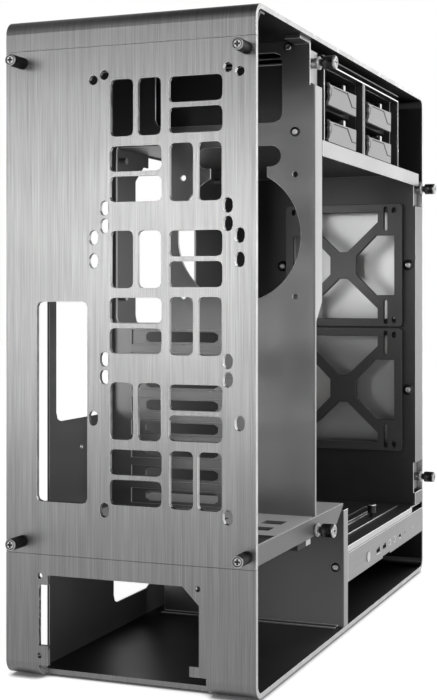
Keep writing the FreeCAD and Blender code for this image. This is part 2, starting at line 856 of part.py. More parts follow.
def make_mid_shelf():
    body = new_body("mid_shelf")
    plate = Drawing(body, "flat", above(s.shelf_top_z - s.shelf_sheet))
    plate.rectangle(across(nothing), inward(s.shelf_front_d), across(s.tray_x), inward(s.shelf_rear_d))
    for column in range(SIZES["shelf_vent_columns"]):
        for row in range(2):
            x = s.shelf_vent_x + s.shelf_vent_pitch_x * column
            d = s.shelf_vent_d + s.shelf_vent_pitch_d * row
            end_x, end_d = x + s.shelf_vent_width, d + s.shelf_vent_length
            plate.rectangle(across(x), inward(end_d), across(end_x), inward(d))
    pad(body, plate, s.shelf_sheet)
    beam = Drawing(body, "along", across(nothing))
    outline = [
        (s.wrap_sheet, beam_low_z), (s.shelf_front_d - s.beam_chamfer, beam_low_z),
        (s.shelf_front_d, s.shelf_top_z - s.shelf_sheet), (s.shelf_front_d, s.shelf_top_z),
        (s.wrap_sheet, s.shelf_top_z),
    ]
    beam.polygon([(inward(d), above(z)) for d, z in outline])
    pad(body, beam, s.shelf_sheet)
    flange = Drawing(body, "across", inward(s.wrap_sheet))
    flange.rectangle(across(nothing), above(beam_low_z), across(s.rear_flange_end_x), above(s.shelf_top_z))
    for x in screw_columns:
        flange.many_sided(across(x), above(screw_rows[0]), s.thumbscrew_shank + s.thread_clearance * 2)
    pad(body, flange, s.shelf_sheet)


partition_front_d = s.partition_d + s.partition_sheet
partition_edge_d = s.partition_d + s.partition_flange


def make_psu_partition():
    body = new_body("psu_partition")
    plate = Drawing(body, "across", inward(s.partition_d))
    plate.rectangle(across(nothing), floor_z, across(s.partition_end_x), above(s.partition_top_z))
    pad(body, plate, s.partition_sheet)
    flange = Drawing(body, "along", across(nothing))
    flange.rectangle(inward(partition_edge_d), floor_z, inward(s.partition_d), above(s.partition_top_z))
    pad(body, flange, s.partition_sheet)
    foot = Drawing(body, "flat", floor_z)
    foot.rectangle(across(s.partition_foot_x), inward(s.partition_d), across(s.partition_end_x),
                   inward(s.partition_d - s.partition_foot))
    pad(body, foot, s.partition_foot_sheet)
    round_bend(body, across(nothing), inward(s.partition_d), s.wall_bend)


cage_under_z = s.cage_top_face_z - s.cage_sheet
bracket_rows = [s.bracket_low_z, s.bracket_low_z + s.bracket_pitch]


def make_front_frame():
    body = new_body("front_frame")
    plate = Drawing(body, "across", inward(s.frame_d))
    plate.rectangle(across(s.frame_sheet), above(s.low_shelf_top_z), across(s.tray_x), above(cage_under_z))
    reach = s.frame_window / 2
    for z in bracket_rows:
        plate.rectangle(across(s.bracket_x - reach), above(z - reach), across(s.bracket_x + reach),
                        above(z + reach))
    pad(body, plate, s.frame_sheet)
    flange = Drawing(body, "along", across(nothing))
    spans = [(s.low_shelf_top_z, s.frame_toe_z), (s.frame_flange_low_z, s.frame_flange_high_z)]
    for low, high in spans:
        flange.rectangle(inward(front_d), above(low), inward(s.frame_d), above(high))
    pad(body, flange, s.frame_sheet)
    # The flange is set back where a post's boss stands on it.
    gap = s.setback_gap
    seats = [(s.frame_toe_z + gap, s.frame_flange_low_z - gap), (s.frame_flange_high_z + gap, cage_under_z)]
    for low, high in seats:
        seat = Drawing(body, "along", across(s.post_setback))
        seat.rectangle(inward(front_d), above(low), inward(s.frame_d), above(high))
        pad(body, seat, s.frame_sheet)


def make_fan_bracket(label, centre_z):
    """Square bracket with a hub and four arms between four windows."""
    body = new_body(label)
    frame = Drawing(body, "across", inward(s.frame_d - s.bracket_depth))

    def place(x, z):
        return across(s.bracket_x + x), above(centre_z + z)

    reach = s.bracket_size / 2
    frame.eased(*place(-reach, -reach), *place(reach, reach), s.bracket_corner)
    for side in (-1, 1):
        upper = [
            (-s.hub_flat, s.hub_half), (s.hub_flat, s.hub_half), (s.top_window_half, s.top_window_side),
            (s.top_window_half, s.window_reach), (-s.top_window_half, s.window_reach),
            (-s.top_window_half, s.top_window_side),
        ]
        frame.polygon([place(x, z * side) for x, z in upper])
        beside = [
            (s.hub_half, -s.hub_side_flat), (s.side_window_step, -s.side_window_half),
            (s.window_reach, -s.side_window_half), (s.window_reach, s.side_window_half),
            (s.side_window_step, s.side_window_half), (s.hub_half, s.hub_side_flat),
        ]
        frame.polygon([place(x * side, z) for x, z in beside])
    pad(body, frame, s.bracket_depth)
    for side in (-1, 1):
        for end in (-1, 1):
            slots = Drawing(body, "across", inward(s.frame_d - s.bracket_depth))
            x, z = place(s.bracket_slot_x * side, s.bracket_slot_z * end)
            slots.upright_slot(x, z, s.bracket_slot_width, s.bracket_slot_length)
            x, z = place(s.bracket_hole_x * side, s.bracket_hole_z * end)
            slots.upright_slot(x, z, s.bracket_slot_width, s.bracket_hole_length)
            pocket(body, slots, s.bracket_depth)


def make_fan_bracket_screws():
    body = new_body("fan_bracket_screws")
    for x in (s.bracket_screw_x, s.bracket_x * 2 - s.bracket_screw_x):
        for z in bracket_rows:
            head = Drawing(body, "across", inward(s.frame_d - s.bracket_screw_height))
            head.many_sided(across(x), above(z), s.bracket_screw_head)
            pad(body, head, s.bracket_screw_height)


def make_bottom_shelf():
    body = new_body("bottom_shelf")
    plate = Drawing(body, "flat", above(s.low_shelf_top_z - s.low_shelf_sheet))
    plate.rectangle(across(s.low_shelf_sheet), inward(front_d), across(s.tray_x), inward(partition_front_d))
    pad(body, plate, s.low_shelf_sheet)
    lip = Drawing(body, "along", across(nothing))
    lip.rectangle(inward(s.low_lip_end_d), above(s.low_shelf_top_z - s.low_shelf_lip),
                  inward(partition_edge_d), above(s.low_shelf_top_z))
    pad(body, lip, s.low_shelf_sheet)


base_top_z = s.low_shelf_top_z + s.base_bracket_sheet


def make_bottom_bracket():
    body = new_body("bottom_bracket")
    plate = Drawing(body, "flat", above(s.low_shelf_top_z))
    end_x = s.base_bracket_x + s.base_bracket_width
    end_d = s.base_bracket_d + s.base_bracket_length
    plate.rectangle(across(s.base_bracket_x), inward(end_d), across(end_x), inward(s.base_bracket_d))
    middle_d = s.base_bracket_d + s.base_bracket_length / 2
    for x in (s.base_bracket_x + s.base_slot_inset, end_x - s.base_slot_inset):
        plate.upright_slot(across(x), inward(middle_d), s.base_slot_width, s.base_slot_length)
    pad(body, plate, s.base_bracket_sheet)
    rail = Drawing(body, "flat", above(s.low_shelf_top_z))
    rail.rectangle(across(s.base_rail_x), inward(s.base_rail_end_d),
                   across(s.base_rail_x + s.base_rail_width), inward(s.base_bracket_d))
    pad(body, rail, s.base_bracket_sheet + s.base_rail_height)


def make_bracket_thumbscrew():
    body = new_body("bracket_thumbscrew")
    x, y = across(s.base_screw_x), inward(s.base_screw_d)
    neck = Drawing(body, "flat", above(base_top_z))
    neck.many_sided(x, y, s.base_screw_neck)
    pad(body, neck, s.base_screw_neck_height)
    head = Drawing(body, "flat", above(base_top_z + s.base_screw_neck_height))
    head.many_sided(x, y, s.base_screw_head, KNOB_SIDES)
    pad(body, head, s.base_screw_head_height)


divider_starts = [s.cage_band_start_d + (s.bay_width + s.divider_width) * index for index in range(3)]
bay_starts = [start + s.divider_width for start in divider_starts[:2]]
sled_low_z = [s.cage_top_face_z + s.tray_gap + s.tray_pitch * level for level in range(2)]
ledge_low_z = sled_low_z[1] - s.tray_gap - s.ledge_thickness


def make_cage_floor():
    body = new_body("cage_floor")
    plate = Drawing(body, "flat", above(cage_under_z))
    plate.rectangle(across(s.cage_sheet), inward(s.frame_d), across(s.tray_x), inward(wall_front_d))
    pad(body, plate, s.cage_sheet)
    band = Drawing(body, "along", across(nothing))
    band.rectangle(inward(s.cage_band_end_d), above(s.cage_top_face_z - s.cage_band_height),
                   inward(s.cage_band_start_d), above(s.cage_top_face_z))
    pad(body, band, s.cage_sheet)


def make_cage_divider(index):
    """Folded channel, open at the back, with a ledge on each side that faces a bay."""
    body = new_body("cage_divider_%d" % (index + 1))
    near, far = divider_starts[index], divider_starts[index] + s.divider_width
    sheet, front, back = s.divider_sheet, s.cage_front_x, s.cage_back_x
    profile = [
        (front, near), (back, near), (back, near + sheet), (front + sheet, near + sheet),
        (front + sheet, far - sheet), (back, far - sheet), (back, far), (front, far),
    ]
    channel = Drawing(body, "flat", above(s.cage_top_face_z))
    channel.polygon([(across(x), inward(d)) for x, d in profile])
    pad(body, channel, s.cage_inner_height)
    ledges = Drawing(body, "flat", above(ledge_low_z))
    first_x, last_x = across(s.ledge_front_x), across(s.ledge_back_x)
    if index > 0:
        ledges.rectangle(first_x, inward(near), last_x, inward(near - s.ledge_width))
    if index < 2:
        ledges.rectangle(first_x, inward(far + s.ledge_width), last_x, inward(far))
    pad(body, ledges, s.ledge_thickness)


def make_cage_top():
    """Two sheets, folded together at the back, over the dividers."""
    body = new_body("cage_top")
    low = s.cage_top_face_z + s.cage_inner_height
    high, sheet = low + s.cage_hem, s.divider_sheet
    front, back = s.cage_front_x, s.cage_back_x
    profile = [
        (front, low), (back, low), (back, high), (front, high), (front, high - sheet),
        (back - sheet, high - sheet), (back - sheet, low + sheet), (front, low + sheet),
    ]
    hem = Drawing(body, "across", inward(divider_starts[0]))
    hem.polygon([(across(x), above(z)) for x, z in profile])
    pad(body, hem, divider_starts[2] + s.divider_width - divider_starts[0])


def make_drive_tray(number, bay_d, low_z):
    """Sled with a floor, two side walls and a front bar."""
    body = new_body("drive_tray_%d" % number)
    near = bay_d + s.tray_side_gap
    far = bay_d + s.bay_width - s.tray_side_gap
    front, back = s.sled_front_x, s.sled_front_x + s.sled_length
    floor = Drawing(body, "flat", above(low_z))
    floor.rectangle(across(front), inward(far), across(back), inward(near))
    pad(body, floor, s.sled_floor)
    walls = Drawing(body, "flat", above(low_z))
    outline = [
        (front, near), (back, near), (back, near + s.sled_wall), (front + s.sled_front, near + s.sled_wall),
        (front + s.sled_front, far - s.sled_wall), (back, far - s.sled_wall), (back, far), (front, far),
    ]
    walls.polygon([(across(x), inward(d)) for x, d in outline])
    pad(body, walls, s.sled_height)


def make_tray_handle(number, bay_d, low_z):
    """Pull handle on the sled's front bar, with a raised lever that has sloping ends."""
    body = new_body("tray_handle_%d" % number)
    start = bay_d + s.handle_start
    end = start + s.handle_length
    face = s.sled_front_x - s.handle_thickness
    plate = Drawing(body, "along", across(face))
    outline = [
        (start - s.handle_tip, nothing), (end, nothing), (end, s.handle_height), (start, s.handle_height),
        (start, s.handle_tip),
    ]
    plate.polygon([(inward(d), above(low_z + z)) for d, z in outline])
    pad(body, plate, s.handle_thickness)
    first = start + s.lever_inset
    last = first + s.lever_length
    low, high = s.lever_low, s.lever_low + s.lever_height
    lever = Drawing(body, "along", across(face - s.lever_thickness))
    outline = [(first, low), (last, low), (last - s.lever_slope, high), (first + s.lever_slope, high)]
    lever.polygon([(inward(d), above(low_z + z)) for d, z in outline])
    pad(body, lever, s.lever_thickness)


panel_high_z = s.low_shelf_top_z - s.low_shelf_lip - s.panel_gap
usb_places = [s.usb_first_d, s.usb_first_d + s.usb_pitch]
jack_places = [s.jack_first_d, s.jack_first_d + s.jack_pitch]
led_places = [s.led_first_d, s.led_first_d + s.led_pitch]


def make_io_panel():
    """Channel that faces the open side, with a hole for each control."""
    body = new_body("io_panel")
    low, high, sheet, lip = s.panel_low_z, panel_high_z, s.panel_sheet, s.panel_lip
    profile = [
        (nothing, low), (lip, low), (lip, low + sheet), (sheet, low + sheet),
        (sheet, high - sheet), (lip, high - sheet), (lip, high), (nothing, high),
    ]
    start_d = partition_edge_d + s.panel_gap
    channel = Drawing(body, "across", inward(start_d))
    channel.polygon([(across(x), above(z)) for x, z in profile])
    pad(body, channel, front_d - s.panel_gap - start_d)
    z = above(s.control_z)
    controls = Drawing(body, "along", across(nothing))
    controls.many_sided(inward(s.button_d), z, s.button_diameter + s.button_gap * 2, KNOB_SIDES)
    controls.many_sided(inward(s.reset_d), z, s.reset_diameter)
    pocket(body, controls, sheet)
    notch = Drawing(body, "along", across(nothing))
    notch.rectangle(inward(s.panel_notch_d + s.panel_notch_length), above(low), inward(s.panel_notch_d),
                    above(low + s.panel_notch_height))
    pocket(body, notch, sheet)
    ports = Drawing(body, "along", across(nothing))
    half_width, half_height = s.usb_width / 2 + s.port_gap, s.usb_height / 2 + s.port_gap
    for d in usb_places:
        ports.rectangle(inward(d + half_width), z - half_height, inward(d - half_width), z + half_height)
    ports.level_slot(inward(s.type_c_d), z, s.type_c_width + s.port_gap * 2, s.type_c_height + s.port_gap * 2)
    pocket(body, ports, sheet)
    rounds = [(d, s.jack_diameter) for d in jack_places] + [(d, s.led_diameter) for d in led_places]
    for d, diameter in rounds:
        hole = Drawing(body, "along", across(nothing))
        hole.many_sided(inward(d), z, diameter + s.port_gap * 2)
        pocket(body, hole, sheet)


button_back_x = s.panel_sheet + s.button_gap + s.button_collar_sheet


def make_io_board():
    """Circuit board behind the strip, with the push switch on it."""
    body = new_body("io_board")
    plate = Drawing(body, "along", across(s.board_x))
    plate.rectangle(inward(s.board_d + s.board_length), above(s.panel_low_z + s.panel_sheet),
                    inward(s.board_d), above(panel_high_z - s.panel_sheet))
    pad(body, plate, s.board_sheet)
    start_x = button_back_x + s.button_travel + s.button_gap
    switch = Drawing(body, "along", across(start_x))
    switch.many_sided(inward(s.button_d), above(s.control_z), s.switch_diameter)
    pad(body, switch, s.board_x - start_x)


def make_power_button():
    body = new_body("power_button")
    y, z = inward(s.button_d), above(s.control_z)
    collar_x = s.panel_sheet + s.button_gap
    cap = Drawing(body, "along", across(-s.button_reach))
    cap.many_sided(y, z, s.button_diameter, KNOB_SIDES)
    pad(body, cap, collar_x + s.button_reach)
    collar = Drawing(body, "along", across(collar_x))
    collar.many_sided(y, z, s.button_collar, KNOB_SIDES)
    pad(body, collar, s.button_collar_sheet)


def make_usb_ports():
    body = new_body("usb_ports")
    z = above(s.control_z)
    length = s.board_x - s.port_recess
    shells = Drawing(body, "along", across(s.port_recess))
    backs = Drawing(body, "along", across(s.board_x - s.usb_tongue))
    tongues = Drawing(body, "along", across(s.panel_sheet))
    for d in usb_places:
        y0, y1 = inward(d + s.usb_width / 2), inward(d - s.usb_width / 2)
        z0, z1 = z - s.usb_height / 2, z + s.usb_height / 2
        wall = s.usb_wall
        shells.rectangle(y0, z0, y1, z1)
        shells.rectangle(y0 + wall, z0 + wall, y1 - wall, z1 - wall)
        backs.rectangle(y0, z0, y1, z1)
        tongues.rectangle(y0 + wall * 2, z, y1 - wall * 2, z + s.usb_tongue)
    pad(body, shells, length)
    pad(body, backs, s.usb_tongue)
    pad(body, tongues, s.board_x - s.panel_sheet)


def make_type_c_port():
    body = new_body("type_c_port")
    y, z = inward(s.type_c_d), above(s.control_z)
    wall = s.usb_wall
    shell = Drawing(body, "along", across(s.port_recess))
    shell.level_slot(y, z, s.type_c_width, s.type_c_height)
    shell.level_slot(y, z, s.type_c_width - wall * 2, s.type_c_height - wall * 2)
    pad(body, shell, s.board_x - s.port_recess)
    back = Drawing(body, "along", across(s.board_x - s.usb_tongue))
    back.level_slot(y, z, s.type_c_width, s.type_c_height)
    pad(body, back, s.usb_tongue)


def make_audio_jacks():
    body = new_body("audio_jacks")
    sleeves = Drawing(body, "along", across(nothing))
    for d in jack_places:
        sleeves.many_sided(inward(d), above(s.control_z), s.jack_diameter)
        sleeves.many_sided(inward(d), above(s.control_z), s.jack_bore)
    pad(body, sleeves, s.board_x)


def make_indicator_leds():
    body = new_body("indicator_leds")
    lamps = Drawing(body, "along", across(nothing))
    for d in led_places:
        lamps.many_sided(inward(d), above(s.control_z), s.led_diameter)
    pad(body, lamps, s.board_x)


post_places = [
    (s.post_rear_top_d, s.post_rear_top_z),
    (s.post_rear_low_d, s.post_rear_low_z),
    (s.post_front_top_d, s.post_front_top_z),
    (s.post_front_low_d, s.post_front_low_z),
]


def pad_both_sides(body, gap, length, draw):
    """Raise the same drawing outside both open sides, a gap away from each."""
    for start in (across(-gap - length), half + gap):
        for d, z in post_places:
            drawing = Drawing(body, "along", start)
            draw(drawing, inward(d), above(z))
            pad(body, drawing, length)


def make_panel_posts():
    body = new_body("panel_posts")
    pad_both_sides(body, nothing, s.post_length, lambda drawing, y, z: drawing.many_sided(y, z, s.post_neck))
    pad_both_sides(body, nothing, s.post_collar_height,
                   lambda drawing, y, z: drawing.many_sided(y, z, s.post_collar))


def make_post_washers():
    body = new_body("post_washers")

    def ring(drawing, y, z):
        drawing.many_sided(y, z, s.washer_diameter)
        drawing.many_sided(y, z, s.post_neck + s.washer_gap * 2)

    pad_both_sides(body, s.post_collar_height, s.washer_thickness, ring)


def make_post_knobs():
    body = new_body("post_knobs")
    pad_both_sides(body, s.post_length, s.knob_length,
                   lambda drawing, y, z: drawing.many_sided(y, z, s.knob_diameter, KNOB_SIDES))


tray_back_x = s.tray_x + s.tray_sheet
far_front_d = s.frame_d - s.far_block_lap


def make_post_brackets():
    """Bosses on the set-back flanges, and the blocks that carry the posts on the tray's far side."""
    body = new_body("post_brackets")
    for d, z in [post_places[0], post_places[2], post_places[3]]:
        boss = Drawing(body, "along", across(nothing))
        boss.many_sided(inward(d), above(z), s.boss_diameter, KNOB_SIDES)
        pad(body, boss, s.post_setback)
    blocks = Drawing(body, "along", across(tray_back_x))
    reach, rise = s.far_block_length / 2, s.far_block_height / 2
    for d, z in post_places[:2]:
        blocks.rectangle(inward(d + reach), above(z - rise), inward(d - reach), above(z + rise))
    for d, z in post_places[2:]:
        blocks.rectangle(inward(d + s.far_block_margin), above(z - rise), inward(far_front_d), above(z + rise))
    pad(body, blocks, s.case_width - tray_back_x)


def make_frame_screws():
    body = new_body("frame_screws")
    places = [
        (s.wall_screw_x, s.wall_screw_z, s.wall_d),
        (s.upper_screw_x, s.upper_screw_z, s.wall_d),
        (s.partition_screw_x, s.partition_screw_z, s.partition_d),
    ]
    for x, z, d in places:
        head = Drawing(body, "across", inward(d - s.small_head_height))
        head.many_sided(across(x), above(z), s.small_head)
        pad(body, head, s.small_head_height)


make_outer_wrap()
make_rear_cover()
make_cover_bracket()
make_thumbscrews()
make_feet()
make_inner_wall()
make_slot_covers()
make_slot_cover_screws()
make_motherboard_tray()
make_standoffs()
make_mid_shelf()
make_psu_partition()
make_front_frame()
make_fan_bracket("fan_bracket_lower", bracket_rows[0])
make_fan_bracket("fan_bracket_upper", bracket_rows[1])
make_fan_bracket_screws()
make_bottom_shelf()
make_bottom_bracket()
make_bracket_thumbscrew()
make_cage_floor()
for index in range(3):
    make_cage_divider(index)
make_cage_top()
number = 0
for bay_d in bay_starts:
    for low_z in sled_low_z:
        number += 1
        make_drive_tray(number, bay_d, low_z)
        make_tray_handle(number, bay_d, low_z)
make_io_panel()
make_io_board()
make_power_button()
make_usb_ports()
make_type_c_port()
make_audio_jacks()
make_indicator_leds()
make_panel_posts()
make_post_washers()
make_post_knobs()
make_post_brackets()
make_frame_screws()

# Check every object, then write one file for each sub-part
doc.recompute()
for item in doc.Objects:
    if "Invalid" in item.State or "Error" in item.State:
        raise ValueError("%s is in error" % item.Label)
bodies = [item for item in doc.Objects if item.TypeId == "PartDesign::Body"]
for body in bodies:
    if body.Shape.isNull() or not body.Shape.isValid():
        raise ValueError("%s has no valid shape" % body.Label)
os.makedirs("parts", exist_ok=True)
for body in bodies:
    body.Shape.exportStep("parts/%s.step" % body.Label)
    print(body.Label, len(body.Shape.Solids), round(body.Shape.Volume))
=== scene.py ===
# %% [markdown]
# An empty tower case made of folded sheet metal, seen from its rear corner with the sides open.
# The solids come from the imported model, in metres, with the rear cover towards +Y and the open side
# towards -X. This lesson gives every sheet its finish, eases the cut edges, and makes the turned and
# moulded pieces anew.

# %% Load the frame
import bpy
import bmesh
import json
from math import cos, pi, radians, sin
from mathutils import Matrix, Vector


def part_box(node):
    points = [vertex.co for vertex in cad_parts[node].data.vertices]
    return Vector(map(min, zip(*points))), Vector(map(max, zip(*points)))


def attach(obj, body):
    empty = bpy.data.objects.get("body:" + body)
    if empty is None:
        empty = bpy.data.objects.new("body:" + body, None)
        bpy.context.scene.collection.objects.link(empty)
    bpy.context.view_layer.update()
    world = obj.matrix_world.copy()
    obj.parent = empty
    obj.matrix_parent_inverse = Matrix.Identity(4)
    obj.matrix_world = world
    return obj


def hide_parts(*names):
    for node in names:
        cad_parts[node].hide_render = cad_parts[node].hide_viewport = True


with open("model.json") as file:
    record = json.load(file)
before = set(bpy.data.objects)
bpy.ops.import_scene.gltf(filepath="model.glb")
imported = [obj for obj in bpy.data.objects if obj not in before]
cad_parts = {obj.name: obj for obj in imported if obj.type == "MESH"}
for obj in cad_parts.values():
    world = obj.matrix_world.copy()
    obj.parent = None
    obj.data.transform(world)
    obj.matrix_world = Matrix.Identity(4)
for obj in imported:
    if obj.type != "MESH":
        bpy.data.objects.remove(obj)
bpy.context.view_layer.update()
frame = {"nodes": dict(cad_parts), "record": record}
MM = 0.001

# %% [markdown]
# Brushed metal, satin coat and moulded plastic all carry a fine pattern. A shader group holds one
# pattern with its inputs, so that each finish only sets how fine and how strong it is. Two more groups
# say where a face is: inside the case, on top, or towards the open side, so that light and shade can be
# painted there.
# Object coordinates are in metres in the case's own frame, so a pattern keeps its real scale on each piece.

# %% A node helper and the shared pattern groups
VALUE_A, VALUE_B = 2, 3
COLOUR_A, COLOUR_B, COLOUR_RESULT = 6, 7, 2


def set_socket(tree, socket, value):
    """Write a value into a socket, or link another node's output to it."""
    if isinstance(value, bpy.types.NodeSocket):
        tree.links.new(value, socket)
    else:
        socket.default_value = value


def link_in(tree, kind, **inputs):
    """Add a node and set its sockets by name."""
    node = tree.nodes.new(kind)
    for name, value in inputs.items():
        set_socket(tree, node.inputs[name.replace("_", " ")], value)
    return node


def calculate(tree, kind, operation, first, second):
    """Add a node of the Math kinds that works on two values."""
    node = tree.nodes.new(kind)
    node.operation = operation
    set_socket(tree, node.inputs[0], first)
    set_socket(tree, node.inputs[1], second)
    return node


def start_group(name, inputs, outputs):
    group = bpy.data.node_groups.new(name, "ShaderNodeTree")
    for label, kind, value in inputs:
        socket = group.interface.new_socket(label, in_out="INPUT", socket_type=kind)
        socket.default_value = value
    for label in outputs:
        group.interface.new_socket(label, in_out="OUTPUT", socket_type="NodeSocketFloat")
    return group, group.nodes.new("NodeGroupInput"), group.nodes.new("NodeGroupOutput")


def make_line_group():
    """Long fine scratches: noise that is stretched by a vector."""
    group, entry, result = start_group(
        "brushed_lines", [("Stretch", "NodeSocketVector", (1400.0, 6.0, 6.0))], ["Tone", "Height"])
    place = group.nodes.new("ShaderNodeTexCoord")
    stretched = calculate(group, "ShaderNodeVectorMath", "MULTIPLY", place.outputs["Object"],
                          entry.outputs["Stretch"])
    fine = link_in(group, "ShaderNodeTexNoise", Vector=stretched.outputs[0], Scale=1.0, Detail=3.0)
    broad = link_in(group, "ShaderNodeTexNoise", Vector=stretched.outputs[0], Scale=0.22, Detail=1.0)
    mixed = link_in(group, "ShaderNodeMix", Factor=0.25)
    group.links.new(fine.outputs["Fac"], mixed.inputs[VALUE_A])
    group.links.new(broad.outputs["Fac"], mixed.inputs[VALUE_B])
    tone = link_in(group, "ShaderNodeMapRange", Value=mixed.outputs[0], From_Min=0.3, From_Max=0.7)
    group.links.new(tone.outputs[0], result.inputs["Tone"])
    group.links.new(fine.outputs["Fac"], result.inputs["Height"])
    return group


def make_grain_group():
    """Grain of a coat or a moulding, and broad soft patches that change its gloss."""
    group, entry, result = start_group(
        "fine_grain", [("Scale", "NodeSocketFloat", 900.0), ("Patch Scale", "NodeSocketFloat", 9.0)],
        ["Grain", "Patch"])
    place = group.nodes.new("ShaderNodeTexCoord")
    grain = link_in(group, "ShaderNodeTexNoise", Vector=place.outputs["Object"],
                    Scale=entry.outputs["Scale"], Detail=2.0)
    patch = link_in(group, "ShaderNodeTexNoise", Vector=place.outputs["Object"],
                    Scale=entry.outputs["Patch Scale"], Detail=4.0)
    soft = link_in(group, "ShaderNodeMapRange", Value=patch.outputs["Fac"], From_Min=0.3, From_Max=0.7)
    group.links.new(grain.outputs["Fac"], result.inputs["Grain"])
    group.links.new(soft.outputs[0], result.inputs["Patch"])
    return group


CASE_CENTRE = (0.0, 0.0, 0.267)
# Heights between which a pool of light is painted on the wrap's inner front face.
PAINTED_LIGHT_LOW_Z, PAINTED_LIGHT_HIGH_Z = 0.078, 0.438
FADE = 0.002


def make_inside_group():
    """Inside is 1 on faces that look towards the middle of the case, where the wrap gets painted shade. The
    other output is 1 on those of them that look rearwards, between the bottom shelf and the drive cage,
    where a pool of light is painted."""
    group, entry, result = start_group(
        "inner_face", [("Centre", "NodeSocketVector", CASE_CENTRE)], ["Inside", "Front"])
    surface = group.nodes.new("ShaderNodeNewGeometry")
    to_centre = calculate(group, "ShaderNodeVectorMath", "SUBTRACT", entry.outputs["Centre"],
                          surface.outputs["Position"])
    upright = calculate(group, "ShaderNodeVectorMath", "MULTIPLY", to_centre.outputs[0], (0.0, 1.0, 1.0))
    facing = calculate(group, "ShaderNodeVectorMath", "DOT_PRODUCT", surface.outputs["True Normal"],
                       upright.outputs[0])
    mask = link_in(group, "ShaderNodeMapRange", Value=facing.outputs["Value"], From_Min=0.01, From_Max=0.02)
    group.links.new(mask.outputs[0], result.inputs["Inside"])
    normal = link_in(group, "ShaderNodeSeparateXYZ", Vector=surface.outputs["True Normal"])
    rearward = link_in(group, "ShaderNodeMapRange", Value=normal.outputs["Y"], From_Min=0.80, From_Max=0.98)
    place = link_in(group, "ShaderNodeSeparateXYZ", Vector=surface.outputs["Position"])
    below_cage = link_in(group, "ShaderNodeMapRange", Value=place.outputs["Z"],
                         From_Min=PAINTED_LIGHT_HIGH_Z, From_Max=PAINTED_LIGHT_HIGH_Z - FADE)
    above_shelf = link_in(group, "ShaderNodeMapRange", Value=place.outputs["Z"],
                          From_Min=PAINTED_LIGHT_LOW_Z, From_Max=PAINTED_LIGHT_LOW_Z + FADE)
    front = mask
    for factor in (rearward, below_cage, above_shelf):
        front = calculate(group, "ShaderNodeMath", "MULTIPLY", front.outputs[0], factor.outputs[0])
    group.links.new(front.outputs[0], result.inputs["Front"])
    return group


def make_facing_group():
    """Upper is 1 on faces that look up, Open Side on faces that look to the open side. Finishes paint light
    on both, and the fan brackets paint shade on the second.
    """
    group, entry, result = start_group(
        "facing", [("Steepness", "NodeSocketFloat", 0.9)], ["Upper", "Open Side"])
    surface = group.nodes.new("ShaderNodeNewGeometry")
    normal = link_in(group, "ShaderNodeSeparateXYZ", Vector=surface.outputs["True Normal"])
    up = link_in(group, "ShaderNodeMapRange", Value=normal.outputs["Z"],
                 From_Min=entry.outputs["Steepness"])
    group.links.new(up.outputs[0], result.inputs["Upper"])
    side = link_in(group, "ShaderNodeMapRange", Value=normal.outputs["X"], From_Min=-0.7, From_Max=-0.98)
    group.links.new(side.outputs[0], result.inputs["Open Side"])
    return group


line_group = make_line_group()
grain_group = make_grain_group()
inside_group = make_inside_group()
facing_group = make_facing_group()
print("shader groups:", line_group.name, grain_group.name, inside_group.name, facing_group.name)

# %% [markdown]
# A finish is one Principled shader. The pattern moves its colour between two near tones, its roughness
# between two values, and gives the bump its height. Where a mask says so, the colour changes to another,
# which paints the light and shade that fall on faces inside the case, on top and towards the open side.
# What is the same all over stays on the shader's own sockets.

# %% Finishes of the sheets and small pieces
finishes = {}


def tint_where(tree, mask_group, output, shade, colour):
    """Change a shade to another colour where an output of a mask group says so."""
    mask = tree.nodes.new("ShaderNodeGroup")
    mask.node_tree = mask_group
    mixed = tree.nodes.new("ShaderNodeMix")
    mixed.data_type = "RGBA"
    tree.links.new(mask.outputs[output], mixed.inputs["Factor"])
    tree.links.new(shade, mixed.inputs[COLOUR_A])
    mixed.inputs[COLOUR_B].default_value = (*colour, 1.0)
    return mixed.outputs[COLOUR_RESULT]


RELIEF_DEPTH = 0.02 * MM


def make_finish(name, dark, light, rough, metallic=0.0, lines=None, grain=900.0, bump=0.15, coat=0.0,
                inside=None, front=None, upper=None, side=None, spread=0.0, shine=0.5):
    material = bpy.data.materials.new(name)
    material.use_nodes = True
    tree = material.node_tree
    shader = tree.nodes["Principled BSDF"]
    shader.inputs["Metallic"].default_value = metallic
    shader.inputs["Coat Weight"].default_value = coat
    shader.inputs["Specular IOR Level"].default_value = shine
    group = tree.nodes.new("ShaderNodeGroup")
    group.node_tree = grain_group
    group.inputs["Scale"].default_value = grain
    gloss, tone, height = group.outputs["Patch"], group.outputs["Patch"], group.outputs["Grain"]
    if lines:
        brush = tree.nodes.new("ShaderNodeGroup")
        brush.node_tree = line_group
        brush.inputs["Stretch"].default_value = lines
        tone, height = brush.outputs["Tone"], brush.outputs["Height"]
    colour = tree.nodes.new("ShaderNodeMix")
    colour.data_type = "RGBA"
    tree.links.new(tone, colour.inputs["Factor"])
    colour.inputs[COLOUR_A].default_value = (*dark, 1.0)
    colour.inputs[COLOUR_B].default_value = (*light, 1.0)
    shade = colour.outputs[COLOUR_RESULT]
    # Masked colours paint light and shade by where a face is.
    for mask_group, output, tint in ((inside_group, "Inside", inside), (inside_group, "Front", front),
                                     (facing_group, "Upper", upper), (facing_group, "Open Side", side)):
        if tint:
            shade = tint_where(tree, mask_group, output, shade, tint)
    tree.links.new(shade, shader.inputs["Base Color"])
    gloss_range = link_in(tree, "ShaderNodeMapRange", Value=gloss, To_Min=rough[0], To_Max=rough[1])
    tree.links.new(gloss_range.outputs[0], shader.inputs["Roughness"])
    if spread:
        shader.inputs["Anisotropic"].default_value = spread
        across_lines = link_in(tree, "ShaderNodeCombineXYZ", X=1.0)
        tree.links.new(across_lines.outputs[0], shader.inputs["Tangent"])
    relief = link_in(tree, "ShaderNodeBump", Strength=bump, Distance=RELIEF_DEPTH, Height=height)
    tree.links.new(relief.outputs["Normal"], shader.inputs["Normal"])
    finishes[name] = material


def grey(value):
    return (value, value, value)


